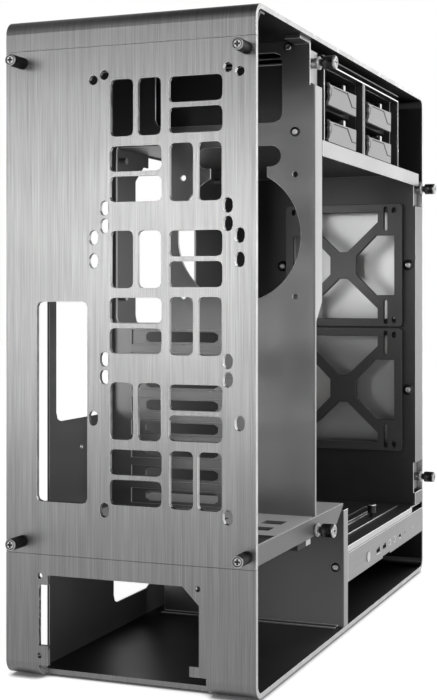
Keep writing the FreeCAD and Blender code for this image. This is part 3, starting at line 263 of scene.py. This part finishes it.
ALONG_WRAP = (1100.0, 16.0, 16.0)
ALONG_STRIP = (7.0, 7.0, 1400.0)
# Wrap: painted shade on its inside faces, a painted pool of light on its inner front face, and open-side
# cut edges painted lighter, partly as bare metal and partly as light.
make_finish("brushed_aluminium", grey(0.125), grey(0.205), (0.36, 0.44), metallic=1.0, lines=ALONG_WRAP,
            bump=0.2, inside=grey(0.02), front=grey(0.40), side=grey(0.46), spread=0.7)
make_finish("polished_edge", grey(0.70), grey(0.80), (0.20, 0.28), metallic=1.0, grain=1500.0, bump=0.05)
make_finish("black_sheet", grey(0.12), grey(0.14), (0.40, 0.48), metallic=0.8, grain=1800.0, bump=0.1)
# The open-side faces of the next four sheets are painted lighter, as light falling from that side.
make_finish("flanged_sheet", grey(0.12), grey(0.14), (0.40, 0.48), metallic=0.8, grain=1800.0, bump=0.1,
            side=grey(0.38))
make_finish("lipped_sheet", grey(0.12), grey(0.14), (0.40, 0.48), metallic=0.8, grain=1800.0, bump=0.1,
            side=grey(0.52))
make_finish("frame_sheet", grey(0.045), grey(0.060), (0.40, 0.48), metallic=0.7, grain=1800.0, bump=0.1,
            side=grey(0.165))
make_finish("partition_sheet", grey(0.08), grey(0.10), (0.40, 0.48), metallic=0.8, grain=1800.0, bump=0.1,
            side=grey(0.30))
# The shelf's top faces are painted near white, as the light and reflection that fall on them.
make_finish("shelf_sheet", grey(0.13), grey(0.15), (0.40, 0.48), metallic=0.1, grain=1800.0, bump=0.1,
            upper=grey(0.90))
make_finish("cage_sheet", grey(0.025), grey(0.035), (0.45, 0.55), metallic=0.3, grain=1800.0, bump=0.1)
make_finish("sheet_edge", grey(0.26), grey(0.33), (0.28, 0.36), metallic=0.85, grain=1800.0, bump=0.1)
make_finish("bright_edge", grey(0.60), grey(0.70), (0.26, 0.34), metallic=0.6, grain=1800.0, bump=0.05)
make_finish("silver_strip", grey(0.22), grey(0.27), (0.36, 0.44), metallic=1.0, lines=ALONG_STRIP, bump=0.1)
make_finish("silver_plastic", grey(0.25), grey(0.30), (0.40, 0.48), metallic=0.3, grain=2500.0, bump=0.08)
make_finish("black_plastic", grey(0.016), grey(0.026), (0.42, 0.52), grain=2200.0, bump=0.25)
# The fan brackets' open-side faces are painted near black, as shade in the gap behind them.
make_finish("bracket_plastic", grey(0.075), grey(0.090), (0.40, 0.50), metallic=0.6, grain=1800.0, bump=0.2,
            side=grey(0.02))
make_finish("black_screw", grey(0.010), grey(0.016), (0.28, 0.34), metallic=0.3, grain=1500.0, bump=0.03)
make_finish("dull_screw", grey(0.006), grey(0.010), (0.40, 0.50), grain=1500.0, bump=0.03, shine=0.12)
make_finish("bright_rim", grey(0.50), grey(0.60), (0.20, 0.28), metallic=1.0, grain=2500.0, bump=0.03)
make_finish("steel", grey(0.36), grey(0.44), (0.28, 0.38), metallic=1.0, grain=1600.0, bump=0.08)
make_finish("ring_face", grey(0.30), grey(0.36), (0.25, 0.33), grain=1600.0, bump=0.05)
# Pale bevels and walls of the clear side rings: a painted highlight of their glint.
make_finish("clear_ring", grey(0.70), grey(0.78), (0.20, 0.28), grain=1600.0, bump=0.05)
make_finish("white_cap_and_jack_glint", grey(0.80), grey(0.86), (0.22, 0.30), grain=2400.0, bump=0.03)
make_finish("board", (0.012, 0.035, 0.02), (0.018, 0.05, 0.028), (0.35, 0.45), grain=1400.0)
make_finish("rubber", grey(0.016), grey(0.024), (0.70, 0.82), grain=1200.0, bump=0.3)
make_finish("lamp", grey(0.55), grey(0.65), (0.12, 0.2), grain=1200.0, coat=0.5)
make_finish("dark_gap", grey(0.008), grey(0.012), (0.60, 0.70), grain=1200.0)
print("finishes:", len(finishes))

# %% [markdown]
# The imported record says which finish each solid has, and some have one of their own. Cut and folded sheet
# never has a razor edge, so each sheet gets a narrow bevel: Weld joins the imported corners, Decimate joins
# flat triangles to whole faces, and Bevel cuts the sharp edges and gives them a finish of their own.
# A modifier leaves the solid's own mesh as it is.

# %% Dress the solids
slot_of = {part["node"]: part["material_slot"] for part in frame["record"]["subparts"]}
BEVELS = {
    "brushed_aluminium": (0.75 * MM, "polished_edge"),
    "black_sheet": (0.30 * MM, "sheet_edge"),
    "silver_strip": (0.30 * MM, "bright_rim"),
    "black_plastic": (0.35 * MM, "black_plastic"),
}
SAME_POINT = 0.002 * MM
FLAT_ANGLE, SHARP_ANGLE = radians(0.6), radians(40)


def ease_edges(solid, width, edge_finish):
    weld = solid.modifiers.new("join_corners", "WELD")
    weld.merge_threshold = SAME_POINT
    flat = solid.modifiers.new("join_faces", "DECIMATE")
    flat.decimate_type = "DISSOLVE"
    flat.angle_limit = FLAT_ANGLE
    bevel = solid.modifiers.new("ease_edges", "BEVEL")
    bevel.width = width
    bevel.segments = 1
    bevel.limit_method = "ANGLE"
    bevel.angle_limit = SHARP_ANGLE
    bevel.material = 1
    solid.data.materials.append(finishes[edge_finish])


OWN_FINISH = {
    "fan_bracket_upper": "bracket_plastic",
    "fan_bracket_lower": "bracket_plastic",
    "mid_shelf": "shelf_sheet",
    "inner_wall": "flanged_sheet",
    "front_frame": "frame_sheet",
    "psu_partition": "partition_sheet",
    "bottom_shelf": "lipped_sheet",
    "post_brackets": "steel",
    "cage_floor": "flanged_sheet",
    "cage_top": "cage_sheet",
    "power_button": "white_cap_and_jack_glint",
    # Painted highlight: the audio jacks get the white of the cap for the shine of their bezels.
    "audio_jacks": "white_cap_and_jack_glint",
}
OWN_FINISH.update({"cage_divider_%d" % number: "cage_sheet" for number in (1, 2, 3)})
OWN_FINISH.update({"drive_tray_%d" % number: "cage_sheet" for number in (1, 2, 3, 4)})
BRIGHT_EDGES = ["cage_divider_1", "cage_divider_2", "cage_divider_3", "cage_top", "cage_floor",
                "bottom_shelf", "bottom_bracket", "inner_wall", "front_frame", "psu_partition"]
BRIGHT_WIDTH = 0.45 * MM

for name, solid in frame["nodes"].items():
    slot = slot_of[name]
    solid.data.materials.clear()
    solid.data.materials.append(finishes[OWN_FINISH.get(name, slot)])
    if slot in BEVELS:
        width, edge_finish = BEVELS[slot]
        bright = name in BRIGHT_EDGES
        ease_edges(solid, BRIGHT_WIDTH if bright else width, "bright_edge" if bright else edge_finish)
print("solids dressed:", len(slot_of))

# %% [markdown]
# Knobs, thumbscrews and small screws are turned: a profile goes round an axis.
# The grip has straight knurls, which are made by moving every other point of a ring inwards,
# and the end has a cross recess, filled as the area between a circle and a plus sign.

# %% Turned pieces
RECESS_TAPER = 0.9


def add_ring(bm, radius, height, sides, knurl=0.0):
    ring = []
    for step in range(sides):
        turn = 2 * pi * step / sides
        reach = radius - (knurl if step % 2 else 0.0)
        ring.append(bm.verts.new((reach * cos(turn), reach * sin(turn), height)))
    return ring


def join_rings(bm, lower, upper, finish):
    for step in range(len(lower)):
        after = (step + 1) % len(lower)
        face = bm.faces.new((lower[step], lower[after], upper[after], upper[step]))
        face.material_index = finish
        face.smooth = True


def close_with_cross(bm, ring, arm, width, depth, finish, recess_finish):
    """Close a ring with a flat end that has a cross recess."""
    height = ring[0].co.z
    half = width / 2
    plus = [(arm, -half), (arm, half), (half, half), (half, arm), (-half, arm), (-half, half),
            (-arm, half), (-arm, -half), (-half, -half), (-half, -arm), (half, -arm), (half, -half)]
    rim = [bm.verts.new((x, y, height)) for x, y in plus]
    base = [bm.verts.new((x * RECESS_TAPER, y * RECESS_TAPER, height - depth)) for x, y in plus]
    edges = []
    for loop in (ring, rim):
        for index, vert in enumerate(loop):
            pair = (vert, loop[(index + 1) % len(loop)])
            edges.append(bm.edges.get(pair) or bm.edges.new(pair))
    filled = bmesh.ops.triangle_fill(bm, edges=edges, use_beauty=True, normal=(0, 0, 1))
    for face in filled["geom"]:
        if isinstance(face, bmesh.types.BMFace):
            face.material_index = finish
    for index in range(len(plus)):
        after = (index + 1) % len(plus)
        wall = bm.faces.new((rim[index], base[index], base[after], rim[after]))
        wall.material_index = recess_finish
    floor = bm.faces.new(base)
    floor.material_index = recess_finish


def turned(bm, profile, sides, cross=None, knurl=0.0):
    """Turn a profile of (radius, height, finish, knurled) rings, where finish is a place in the piece's
    list of finishes. The first ring is closed flat, and the last has a cross recess or a flat cap."""
    rings = []
    for radius, height, finish, knurled in profile:
        rings.append(add_ring(bm, radius, height, sides, knurl if knurled else 0.0))
    for index in range(1, len(rings)):
        join_rings(bm, rings[index - 1], rings[index], profile[index][2])
    bm.faces.new(list(reversed(rings[0]))).material_index = profile[0][2]
    if cross:
        close_with_cross(bm, rings[-1], *cross)
    else:
        bm.faces.new(rings[-1]).material_index = profile[-1][2]


def finish_piece(bm, name, body, materials, replaced=()):
    bmesh.ops.recalc_face_normals(bm, faces=bm.faces)
    mesh = bpy.data.meshes.new(name)
    bm.to_mesh(mesh)
    bm.free()
    piece = bpy.data.objects.new(name, mesh)
    bpy.context.scene.collection.objects.link(piece)
    for material in materials:
        mesh.materials.append(finishes[material])
    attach(piece, body)
    if replaced:
        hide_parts(*replaced)
    return piece


def pointing(x, y, z, axis):
    """A placement whose +Z runs along an axis."""
    return Matrix.Translation((x, y, z)) @ Vector(axis).to_track_quat("Z", "Y").to_matrix().to_4x4()


def solid_islands(node):
    """The box of each separate solid in a node, from its joined mesh."""
    bm = bmesh.new()
    bm.from_mesh(frame["nodes"][node].data)
    bmesh.ops.remove_doubles(bm, verts=bm.verts, dist=0.001 * MM)
    waiting, boxes = set(bm.verts), []
    while waiting:
        stack, island = [waiting.pop()], []
        while stack:
            vert = stack.pop()
            island.append(vert.co.copy())
            for edge in vert.link_edges:
                other = edge.other_vert(vert)
                if other in waiting:
                    waiting.discard(other)
                    stack.append(other)
        low = Vector([min(point[axis] for point in island) for axis in range(3)])
        high = Vector([max(point[axis] for point in island) for axis in range(3)])
        boxes.append((low, high))
    bm.free()
    return sorted(boxes, key=lambda box: tuple(round(value, 5) for value in box[0]))


def turn_all(name, node, materials, make, axis_of):
    """Make a turned piece on each solid of a node, as long and as wide as that solid."""
    bm = bmesh.new()
    for low, high in solid_islands(node):
        middle, size = (low + high) / 2, high - low
        axis = Vector(axis_of(middle))
        along = max(range(3), key=lambda index: abs(axis[index]))
        length = size[along]
        radius = max(size[index] for index in range(3) if index != along) / 2
        start = middle - axis * (length / 2)
        part = bmesh.new()
        make(part, radius, length)
        part.transform(pointing(*start, axis))
        holder = bpy.data.meshes.new("part")
        part.to_mesh(holder)
        part.free()
        bm.from_mesh(holder)
        bpy.data.meshes.remove(holder)
    return finish_piece(bm, name, "chassis", materials, [node])


print("turning tools ready")

# %% [markdown]
# The side knobs are black with a bright end. The screws of the rear cover are dull black, and their grey
# end has a dark groove round it. Both have a cross recess. The base screw stands upright on a plain neck.

# %% Knobs, thumbscrews and screws
STEP = 0.1 * MM
WASHER_REACH, BRACKET_WASHER_REACH = 1.4, 1.75


def make_knob(part, radius, length):
    chamfer, collar, band = 0.7 * MM, 1.6 * MM, 2.2 * MM
    rim, dish = radius - 1.6 * MM, 0.3 * MM
    profile = [
        (radius - chamfer, 0.0, 0, False), (radius, chamfer, 0, False), (radius, collar, 0, False),
        (radius, collar + STEP, 0, True), (radius, length - band - STEP, 0, True),
        (radius, length - band, 1, False), (radius, length - chamfer, 1, False),
        (radius - chamfer, length, 1, False), (rim, length, 1, False),
        (rim - dish, length - dish, 1, False),
    ]
    arm, width, depth = 2.9 * MM, 1.0 * MM, 1.2 * MM
    turned(part, profile, 56, (arm, width, depth, 1, 2), knurl=0.15 * MM)


def make_rear_thumbscrew(part, radius, length):
    chamfer, shank, head = 0.6 * MM, 2.0 * MM, 10.0 * MM
    collar, band, groove = 3.5 * MM, 2.5 * MM, 0.6 * MM
    profile = [
        (shank, 0.0, 0, False), (shank, head, 0, False), (radius - chamfer, head, 0, False),
        (radius, head + chamfer, 0, False), (radius, head + collar, 0, False),
        (radius, head + collar + STEP, 0, True), (radius, length - band - STEP, 0, True),
        (radius, length - band, 0, False), (radius, length - chamfer, 0, False),
        (radius - chamfer, length, 1, False), (radius - 0.9 * MM, length, 1, False),
        (radius - 1.1 * MM, length - groove, 2, False), (radius - 1.7 * MM, length - groove, 2, False),
        (radius - 1.9 * MM, length - STEP, 1, False),
    ]
    arm, width, depth = 2.3 * MM, 1.6 * MM, 1.6 * MM
    turned(part, profile, 52, (arm, width, depth, 1, 2), knurl=0.2 * MM)


def make_pan_head(part, radius, length):
    profile = [
        (radius, 0.0, 0, False), (radius, length * 0.45, 0, False),
        (radius * 0.93, length * 0.75, 0, False), (radius * 0.78, length * 0.93, 0, False),
        (radius * 0.62, length, 0, False),
    ]
    turned(part, profile, 28, (radius * 0.45, radius * 0.2, length * 0.5, 0, 1))


def make_ringed_screw(part, radius, length, reach=WASHER_REACH):
    """A broad knurled washer with a small bright head in it."""
    washer = radius * reach
    profile = [
        (washer, 0.0, 0, True), (washer, length * 0.55, 0, True), (washer * 0.90, length * 0.70, 0, False),
        (radius * 0.84, length * 0.70, 0, False), (radius * 0.78, length, 2, False),
        (radius * 0.50, length, 2, False), (radius * 0.45, length * 0.8, 1, False),
    ]
    turned(part, profile, 36, (radius * 0.28, radius * 0.12, length * 0.3, 2, 1), knurl=0.25 * MM)


def make_bracket_screw(part, radius, length):
    make_ringed_screw(part, radius, length, BRACKET_WASHER_REACH)


def make_base_thumbscrew(part, radius, length):
    """A knurled head with a bright top edge, on a plain neck."""
    neck, head, chamfer = 2.0 * MM, 4.0 * MM, 0.6 * MM
    profile = [
        (neck, 0.0, 2, False), (neck, head, 2, False), (radius - chamfer, head, 0, False),
        (radius, head + chamfer, 0, False), (radius, head + 1.2 * MM, 0, True),
        (radius, length - 1.4 * MM, 0, True), (radius, length - chamfer, 2, False),
        (radius - chamfer, length, 2, False), (radius - 1.2 * MM, length, 0, False),
    ]
    arm, width, depth = 2.4 * MM, 0.9 * MM, 1.2 * MM
    turned(part, profile, 24, (arm, width, depth, 0, 1), knurl=0.5 * MM)


def outward(middle):
    return (-1, 0, 0) if middle.x < 0 else (1, 0, 0)


def to_rear(middle):
    return (0, 1, 0)


def to_front(middle):
    return (0, -1, 0)


def upwards(middle):
    return (0, 0, 1)


turn_all("side_knobs", "post_knobs", ["black_screw", "steel", "dark_gap"],
         make_knob, outward)
turn_all("cover_thumbscrews", "rear_cover_thumbscrews",
         ["dull_screw", "sheet_edge", "dark_gap"], make_rear_thumbscrew, to_rear)
turn_all("slot_screws", "slot_cover_screws", ["steel", "dark_gap"], make_pan_head, to_front)
turn_all("bracket_screws", "fan_bracket_screws", ["black_screw", "dark_gap", "steel"],
         make_bracket_screw, to_rear)
turn_all("plate_screws", "frame_screws", ["black_screw", "dark_gap", "steel"],
         make_ringed_screw, to_rear)
turn_all("base_thumbscrew", "bracket_thumbscrew", ["black_screw", "dark_gap", "bright_rim"],
         make_base_thumbscrew, upwards)
print("knobs and screws turned")

# %% [markdown]
# The posts and their rings carry the side panels. They are smooth turned pieces, so they get more sides
# than the light solids have, at the same places and sizes.

# %% Posts and rings
ROUND_SIDES = 40


def make_post(part, radius, length):
    neck, collar, ease = 3.5 * MM, 1.0 * MM, 0.2 * MM
    profile = [
        (radius, 0.0, 0, False), (radius, collar - ease, 0, False), (radius - ease, collar, 0, False),
        (neck, collar, 0, False), (neck, length, 0, False),
    ]
    turned(part, profile, ROUND_SIDES)


def make_ring(part, radius, length):
    """A flat ring with a small bevel, open in the middle. Its bevels and round walls get a pale finish, a
    painted highlight.
    """
    bore, bevel = 3.7 * MM, 0.3 * MM
    outline = [
        (bore, bevel), (bore + bevel, 0.0), (radius - bevel, 0.0), (radius, bevel),
        (radius, length - bevel), (radius - bevel, length), (bore + bevel, length), (bore, length - bevel),
    ]
    rings = [add_ring(part, reach, height, ROUND_SIDES) for reach, height in outline]
    for index in range(len(rings)):
        flat = abs(outline[index - 1][1] - outline[index][1]) < 0.01 * MM
        join_rings(part, rings[index - 1], rings[index], 1 if flat else 0)


turn_all("side_posts", "panel_posts", ["steel"], make_post, outward)
turn_all("side_rings", "post_washers", ["clear_ring", "ring_face"], make_ring, outward)
print("posts and rings turned")

# %% [markdown]
# A tray's handle is one moulding that reaches out to the open side. Dark lines show where its lever is let
# in, with a wider one at the lever's slanted end, and a spring tab stands over it.

# %% Handles of the drive trays
def raised_outline(bm, outline, low, high, bevel, finish):
    """A plate from a (y, z) outline, between two places on X, with its outer face eased."""
    centre_y = sum(y for y, z in outline) / len(outline)
    centre_z = sum(z for y, z in outline) / len(outline)

    def level(x, shrink):
        points = []
        for y, z in outline:
            shift = Vector((centre_y - y, centre_z - z))
            shift = shift.normalized() * shrink
            points.append(bm.verts.new((x, y + shift.x, z + shift.y)))
        return points

    levels = [level(high, 0.0), level(low + bevel, 0.0), level(low, bevel)]
    for upper, lower in zip(levels, levels[1:]):
        for index in range(len(outline)):
            after = (index + 1) % len(outline)
            bm.faces.new((upper[index], upper[after], lower[after], lower[index])).material_index = finish
    bm.faces.new(levels[-1]).material_index = finish
    bm.faces.new(list(reversed(levels[0]))).material_index = finish


def add_groove(bm, start, end, width, x):
    """A dark inlaid line on a handle's face, from one (y, z) point to another."""
    along = Vector((end[0] - start[0], end[1] - start[1])).normalized()
    aside = Vector((-along.y, along.x)) * (width / 2)
    outline = [(start[0] + aside.x, start[1] + aside.y), (end[0] + aside.x, end[1] + aside.y),
               (end[0] - aside.x, end[1] - aside.y), (start[0] - aside.x, start[1] - aside.y)]
    raised_outline(bm, outline, x - GROOVE_RISE, x + 0.3 * MM, 0.05 * MM, 1)


GROOVE_RISE = 0.12 * MM
OPEN_SIDE_X = -108.5 * MM
HANDLE_FACE_X = OPEN_SIDE_X + 0.4 * MM
PLATE_THICKNESS = 2.6 * MM
PLATE = [(0.02, 0.0), (0.0, 0.10), (0.05, 0.26), (0.07, 0.45), (0.04, 0.62), (0.07, 0.80), (0.02, 1.0),
         (0.06, 0.94), (1.0, 1.0), (0.985, 0.0)]
CORE = [(0.20, 0.1), (0.20, 0.9), (0.94, 0.9), (0.94, 0.1)]
TAB = [(0.64, 0.97), (0.64, 1.28), (0.70, 1.28), (0.70, 0.97)]
GROOVES = [((0.18, 0.86), (0.67, 0.88), 0.9 * MM), ((0.66, 0.90), (0.83, 0.36), 2.2 * MM),
           ((0.83, 0.37), (0.97, 0.37), 0.9 * MM), ((0.12, 0.80), (0.09, 0.42), 0.7 * MM)]


def make_handle(number):
    """A face plate with tips at its rear end, on a dark core that joins it to the tray."""
    low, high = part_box("tray_handle_%d" % number)
    rear_y, front_y = high[1], low[1]
    base_z, rise = low[2], high[2] - low[2]
    run = rear_y - front_y

    def at(along, up):
        return (rear_y - along * run, base_z + up * rise)

    def outline_of(shape):
        return [at(*place) for place in shape]

    bm = bmesh.new()
    core_x = HANDLE_FACE_X + PLATE_THICKNESS
    raised_outline(bm, outline_of(PLATE), HANDLE_FACE_X, core_x, 0.6 * MM, 0)
    raised_outline(bm, outline_of(CORE), core_x, high[0], 0.1 * MM, 1)
    for start, end, width in GROOVES:
        add_groove(bm, at(*start), at(*end), width, HANDLE_FACE_X)
    raised_outline(bm, outline_of(TAB), HANDLE_FACE_X + 3 * MM, HANDLE_FACE_X + 5 * MM, 0.3 * MM, 2)
    return finish_piece(bm, "pull_handle_%d" % number, "drive_tray_body_%d" % number,
                        ["silver_plastic", "dark_gap", "steel"], ["tray_handle_%d" % number])


for number in (1, 2, 3, 4):
    make_handle(number)
print("handles made: 4")

# %% [markdown]
# The dividers and the top of the drive cage have folded lips that reach to the open side, level with the
# handles. A lip is a thin sheet with a bright cut edge, and it stands clear of the trays' way out.

# %% Lips of the drive cage
BOX_FACES = [(0, 1, 3, 2), (4, 6, 7, 5), (0, 4, 5, 1), (2, 3, 7, 6), (0, 2, 6, 4), (1, 5, 7, 3)]


def add_sheet(bm, low, high, edge_x, finish, edge_finish):
    """A thin sheet between two corners, with a strip of bright cut metal at its outer edge."""
    for start, end, index in ((low[0], edge_x, edge_finish), (edge_x, high[0], finish)):
        corners = [bm.verts.new((x, y, z)) for x in (start, end)
                   for y in (low[1], high[1]) for z in (low[2], high[2])]
        for face in BOX_FACES:
            bm.faces.new([corners[corner] for corner in face]).material_index = index


def make_cage_lips():
    """Lips on the dividers' own sheets, found as what reaches their top, and on the cage's top."""
    sheet, edge_width = 1.2 * MM, 0.8 * MM
    edge_x = HANDLE_FACE_X + edge_width
    bm = bmesh.new()
    for number in (1, 2, 3):
        low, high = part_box("cage_divider_%d" % number)
        corners = frame["nodes"]["cage_divider_%d" % number].data.vertices
        top = [corner.co.y for corner in corners if corner.co.z > high[2] - 0.1 * MM]
        sides = (min(top), max(top) - sheet) if number == 2 else (min(top),)
        for y in sides:
            add_sheet(bm, (HANDLE_FACE_X, y, low[2]), (low[0], y + sheet, high[2]), edge_x, 0, 1)
    low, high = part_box("cage_top")
    for z, edge_finish in ((low[2], 1), (high[2] - sheet, 0)):
        add_sheet(bm, (HANDLE_FACE_X, low[1], z), (low[0], high[1], z + sheet), edge_x, 0, edge_finish)
    return finish_piece(bm, "cage_lips", "chassis", ["cage_sheet", "bright_edge"])


make_cage_lips()
print("cage lips made")

# %% [markdown]
# A small dark block with a bright end hangs under the side beam of the shelf, against its lower edge.

# %% Block under the beam
BLOCK_REAR_Y, BLOCK_END_Y, BLOCK_FRONT_Y = 0.158, 0.136, 0.124
BLOCK_HEIGHT, BLOCK_DEPTH = 5.0 * MM, 10.0 * MM


def make_beam_block():
    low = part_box("mid_shelf")[0]
    top, base = low[2], low[2] - BLOCK_HEIGHT
    near, far = low[0] + 0.3 * MM, low[0] + BLOCK_DEPTH
    bm = bmesh.new()
    for rear, front, finish in ((BLOCK_REAR_Y, BLOCK_END_Y, 0), (BLOCK_END_Y, BLOCK_FRONT_Y, 1)):
        outline = [(rear, top), (front, top), (front, base), (rear, base)]
        raised_outline(bm, outline, near, far, 0.6 * MM, finish)
    return finish_piece(bm, "beam_block", "chassis", ["dark_gap", "steel"])


make_beam_block()
print("beam block made")

# %% [markdown]
# The floor is a large pale sheet. Floor and world are white to the camera and to what mirrors show, so the
# background is plain; other rays meet a darker dome, so the metal still shades, and a narrow contact shadow
# stays under the case. Large soft panels light the rear, the open side and the wrap's bend, and a small one
# shines through the fan hole from behind.

# %% Floor, world and lamps
FLOOR_HALF = 6.0
CONTACT_REACH = 10 * MM
floor_mesh = bpy.data.meshes.new("studio_floor")
corners = [(-FLOOR_HALF, -FLOOR_HALF, 0), (FLOOR_HALF, -FLOOR_HALF, 0),
           (FLOOR_HALF, FLOOR_HALF, 0), (-FLOOR_HALF, FLOOR_HALF, 0)]
floor_mesh.from_pydata(corners, [], [(0, 1, 2, 3)])
floor = bpy.data.objects.new("studio_floor", floor_mesh)
bpy.context.scene.collection.objects.link(floor)


def seen_rays(tree):
    """1 for rays of the camera and for those that a mirror or a clear piece passes on."""
    path = tree.nodes.new("ShaderNodeLightPath")
    direct = calculate(tree, "ShaderNodeMath", "MAXIMUM", path.outputs["Is Camera Ray"],
                       path.outputs["Is Glossy Ray"])
    either = calculate(tree, "ShaderNodeMath", "MAXIMUM", direct.outputs[0],
                       path.outputs["Is Transmission Ray"])
    return either.outputs[0]


def make_floor_finish():
    """Pale floor that keeps the contact shadow and is white to the camera elsewhere."""
    material = bpy.data.materials.new("pale_floor")
    material.use_nodes = True
    tree = material.node_tree
    shader = tree.nodes["Principled BSDF"]
    shader.inputs["Base Color"].default_value = (0.86, 0.86, 0.86, 1.0)
    shader.inputs["Roughness"].default_value = 0.8
    shader.inputs["Specular IOR Level"].default_value = 0.1
    near = link_in(tree, "ShaderNodeAmbientOcclusion", Distance=CONTACT_REACH)
    contact = link_in(tree, "ShaderNodeMapRange", Value=near.outputs["AO"], From_Min=0.3, From_Max=0.8,
                      To_Max=0.8)
    lift = calculate(tree, "ShaderNodeMath", "MULTIPLY", seen_rays(tree), contact.outputs[0])
    shader.inputs["Emission Color"].default_value = (1.0, 1.0, 1.0, 1.0)
    tree.links.new(lift.outputs[0], shader.inputs["Emission Strength"])
    return material


def make_world():
    """White at the horizon to seen rays, a darker dome to the others, both darker overhead."""
    world = bpy.data.worlds.new("studio")
    bpy.context.scene.world = world
    world.use_nodes = True
    tree = world.node_tree
    background = tree.nodes["Background"]
    sky = tree.nodes.new("ShaderNodeTexCoord")
    height = link_in(tree, "ShaderNodeSeparateXYZ", Vector=sky.outputs["Generated"])
    dome = link_in(tree, "ShaderNodeMapRange", Value=height.outputs["Z"], From_Min=0.1, From_Max=0.8,
                   To_Min=0.55, To_Max=0.12)
    wall = link_in(tree, "ShaderNodeMapRange", Value=height.outputs["Z"], From_Min=0.3, From_Max=0.8,
                   To_Min=1.0, To_Max=0.15)
    level = link_in(tree, "ShaderNodeMix", Factor=seen_rays(tree))
    tree.links.new(dome.outputs[0], level.inputs[VALUE_A])
    tree.links.new(wall.outputs[0], level.inputs[VALUE_B])
    tree.links.new(level.outputs[0], background.inputs["Strength"])
    background.inputs["Color"].default_value = (1.0, 1.0, 1.0, 1.0)


def add_panel(name, place, target, width, height, watts, spread=180):
    lamp = bpy.data.lights.new(name, "AREA")
    lamp.shape = "RECTANGLE"
    lamp.size, lamp.size_y = width, height
    lamp.energy = watts
    lamp.spread = radians(spread)
    holder = bpy.data.objects.new(name, lamp)
    bpy.context.scene.collection.objects.link(holder)
    holder.location = place
    holder.rotation_euler = (Vector(target) - Vector(place)).to_track_quat("-Z", "Y").to_euler()
    holder.visible_camera = False


floor_mesh.materials.append(make_floor_finish())
make_world()
add_panel("rear_panel", (1.06, 2.4, 0.42), (0.0, 0.25, 0.36), 1.4, 0.75, 20.0)
add_panel("open_side_panel", (-0.9, -2.2, 0.55), (-0.1, 0.0, 0.3), 1.6, 1.4, 8.0)
add_panel("through_key", (-0.05, 2.60, 0.40), (0.0, -0.27, 0.355), 0.4, 0.4, 0.075, spread=9)
add_panel("bend_panel", (-1.7, 0.60, 1.10), (-0.05, 0.05, 0.15), 0.6, 0.6, 9.0)
print("lamps:", len(bpy.data.lights))

# %% [markdown]
# The camera stands level behind the case, about 20 degrees round to the open side. A long lens keeps the
# upright edges nearly parallel, and a small shift puts the case where the frame has it.

# %% Camera
FOCAL_PIXELS = 1330.6
IMAGE_WIDTH, IMAGE_HEIGHT = 437, 700
CENTRE_X, CENTRE_Y = 260.0, 296.1
SENSOR = 36.0
CAMERA_PLACE = (-0.4646, 1.1936, 0.3088)
YAW = radians(20.61)
lens = bpy.data.cameras.new("main_camera")
lens.sensor_width = SENSOR
lens.lens = SENSOR * FOCAL_PIXELS / IMAGE_HEIGHT
lens.shift_x = (IMAGE_WIDTH / 2 - CENTRE_X) / IMAGE_HEIGHT
lens.shift_y = (CENTRE_Y - IMAGE_HEIGHT / 2) / IMAGE_HEIGHT
camera = bpy.data.objects.new("main_camera", lens)
bpy.context.scene.collection.objects.link(camera)
camera.location = CAMERA_PLACE
camera.rotation_euler = Vector((sin(YAW), -cos(YAW), 0.0)).to_track_quat("-Z", "Y").to_euler()
bpy.context.scene.camera = camera
bpy.context.scene.view_settings.view_transform = "Standard"
print("camera at", CAMERA_PLACE)
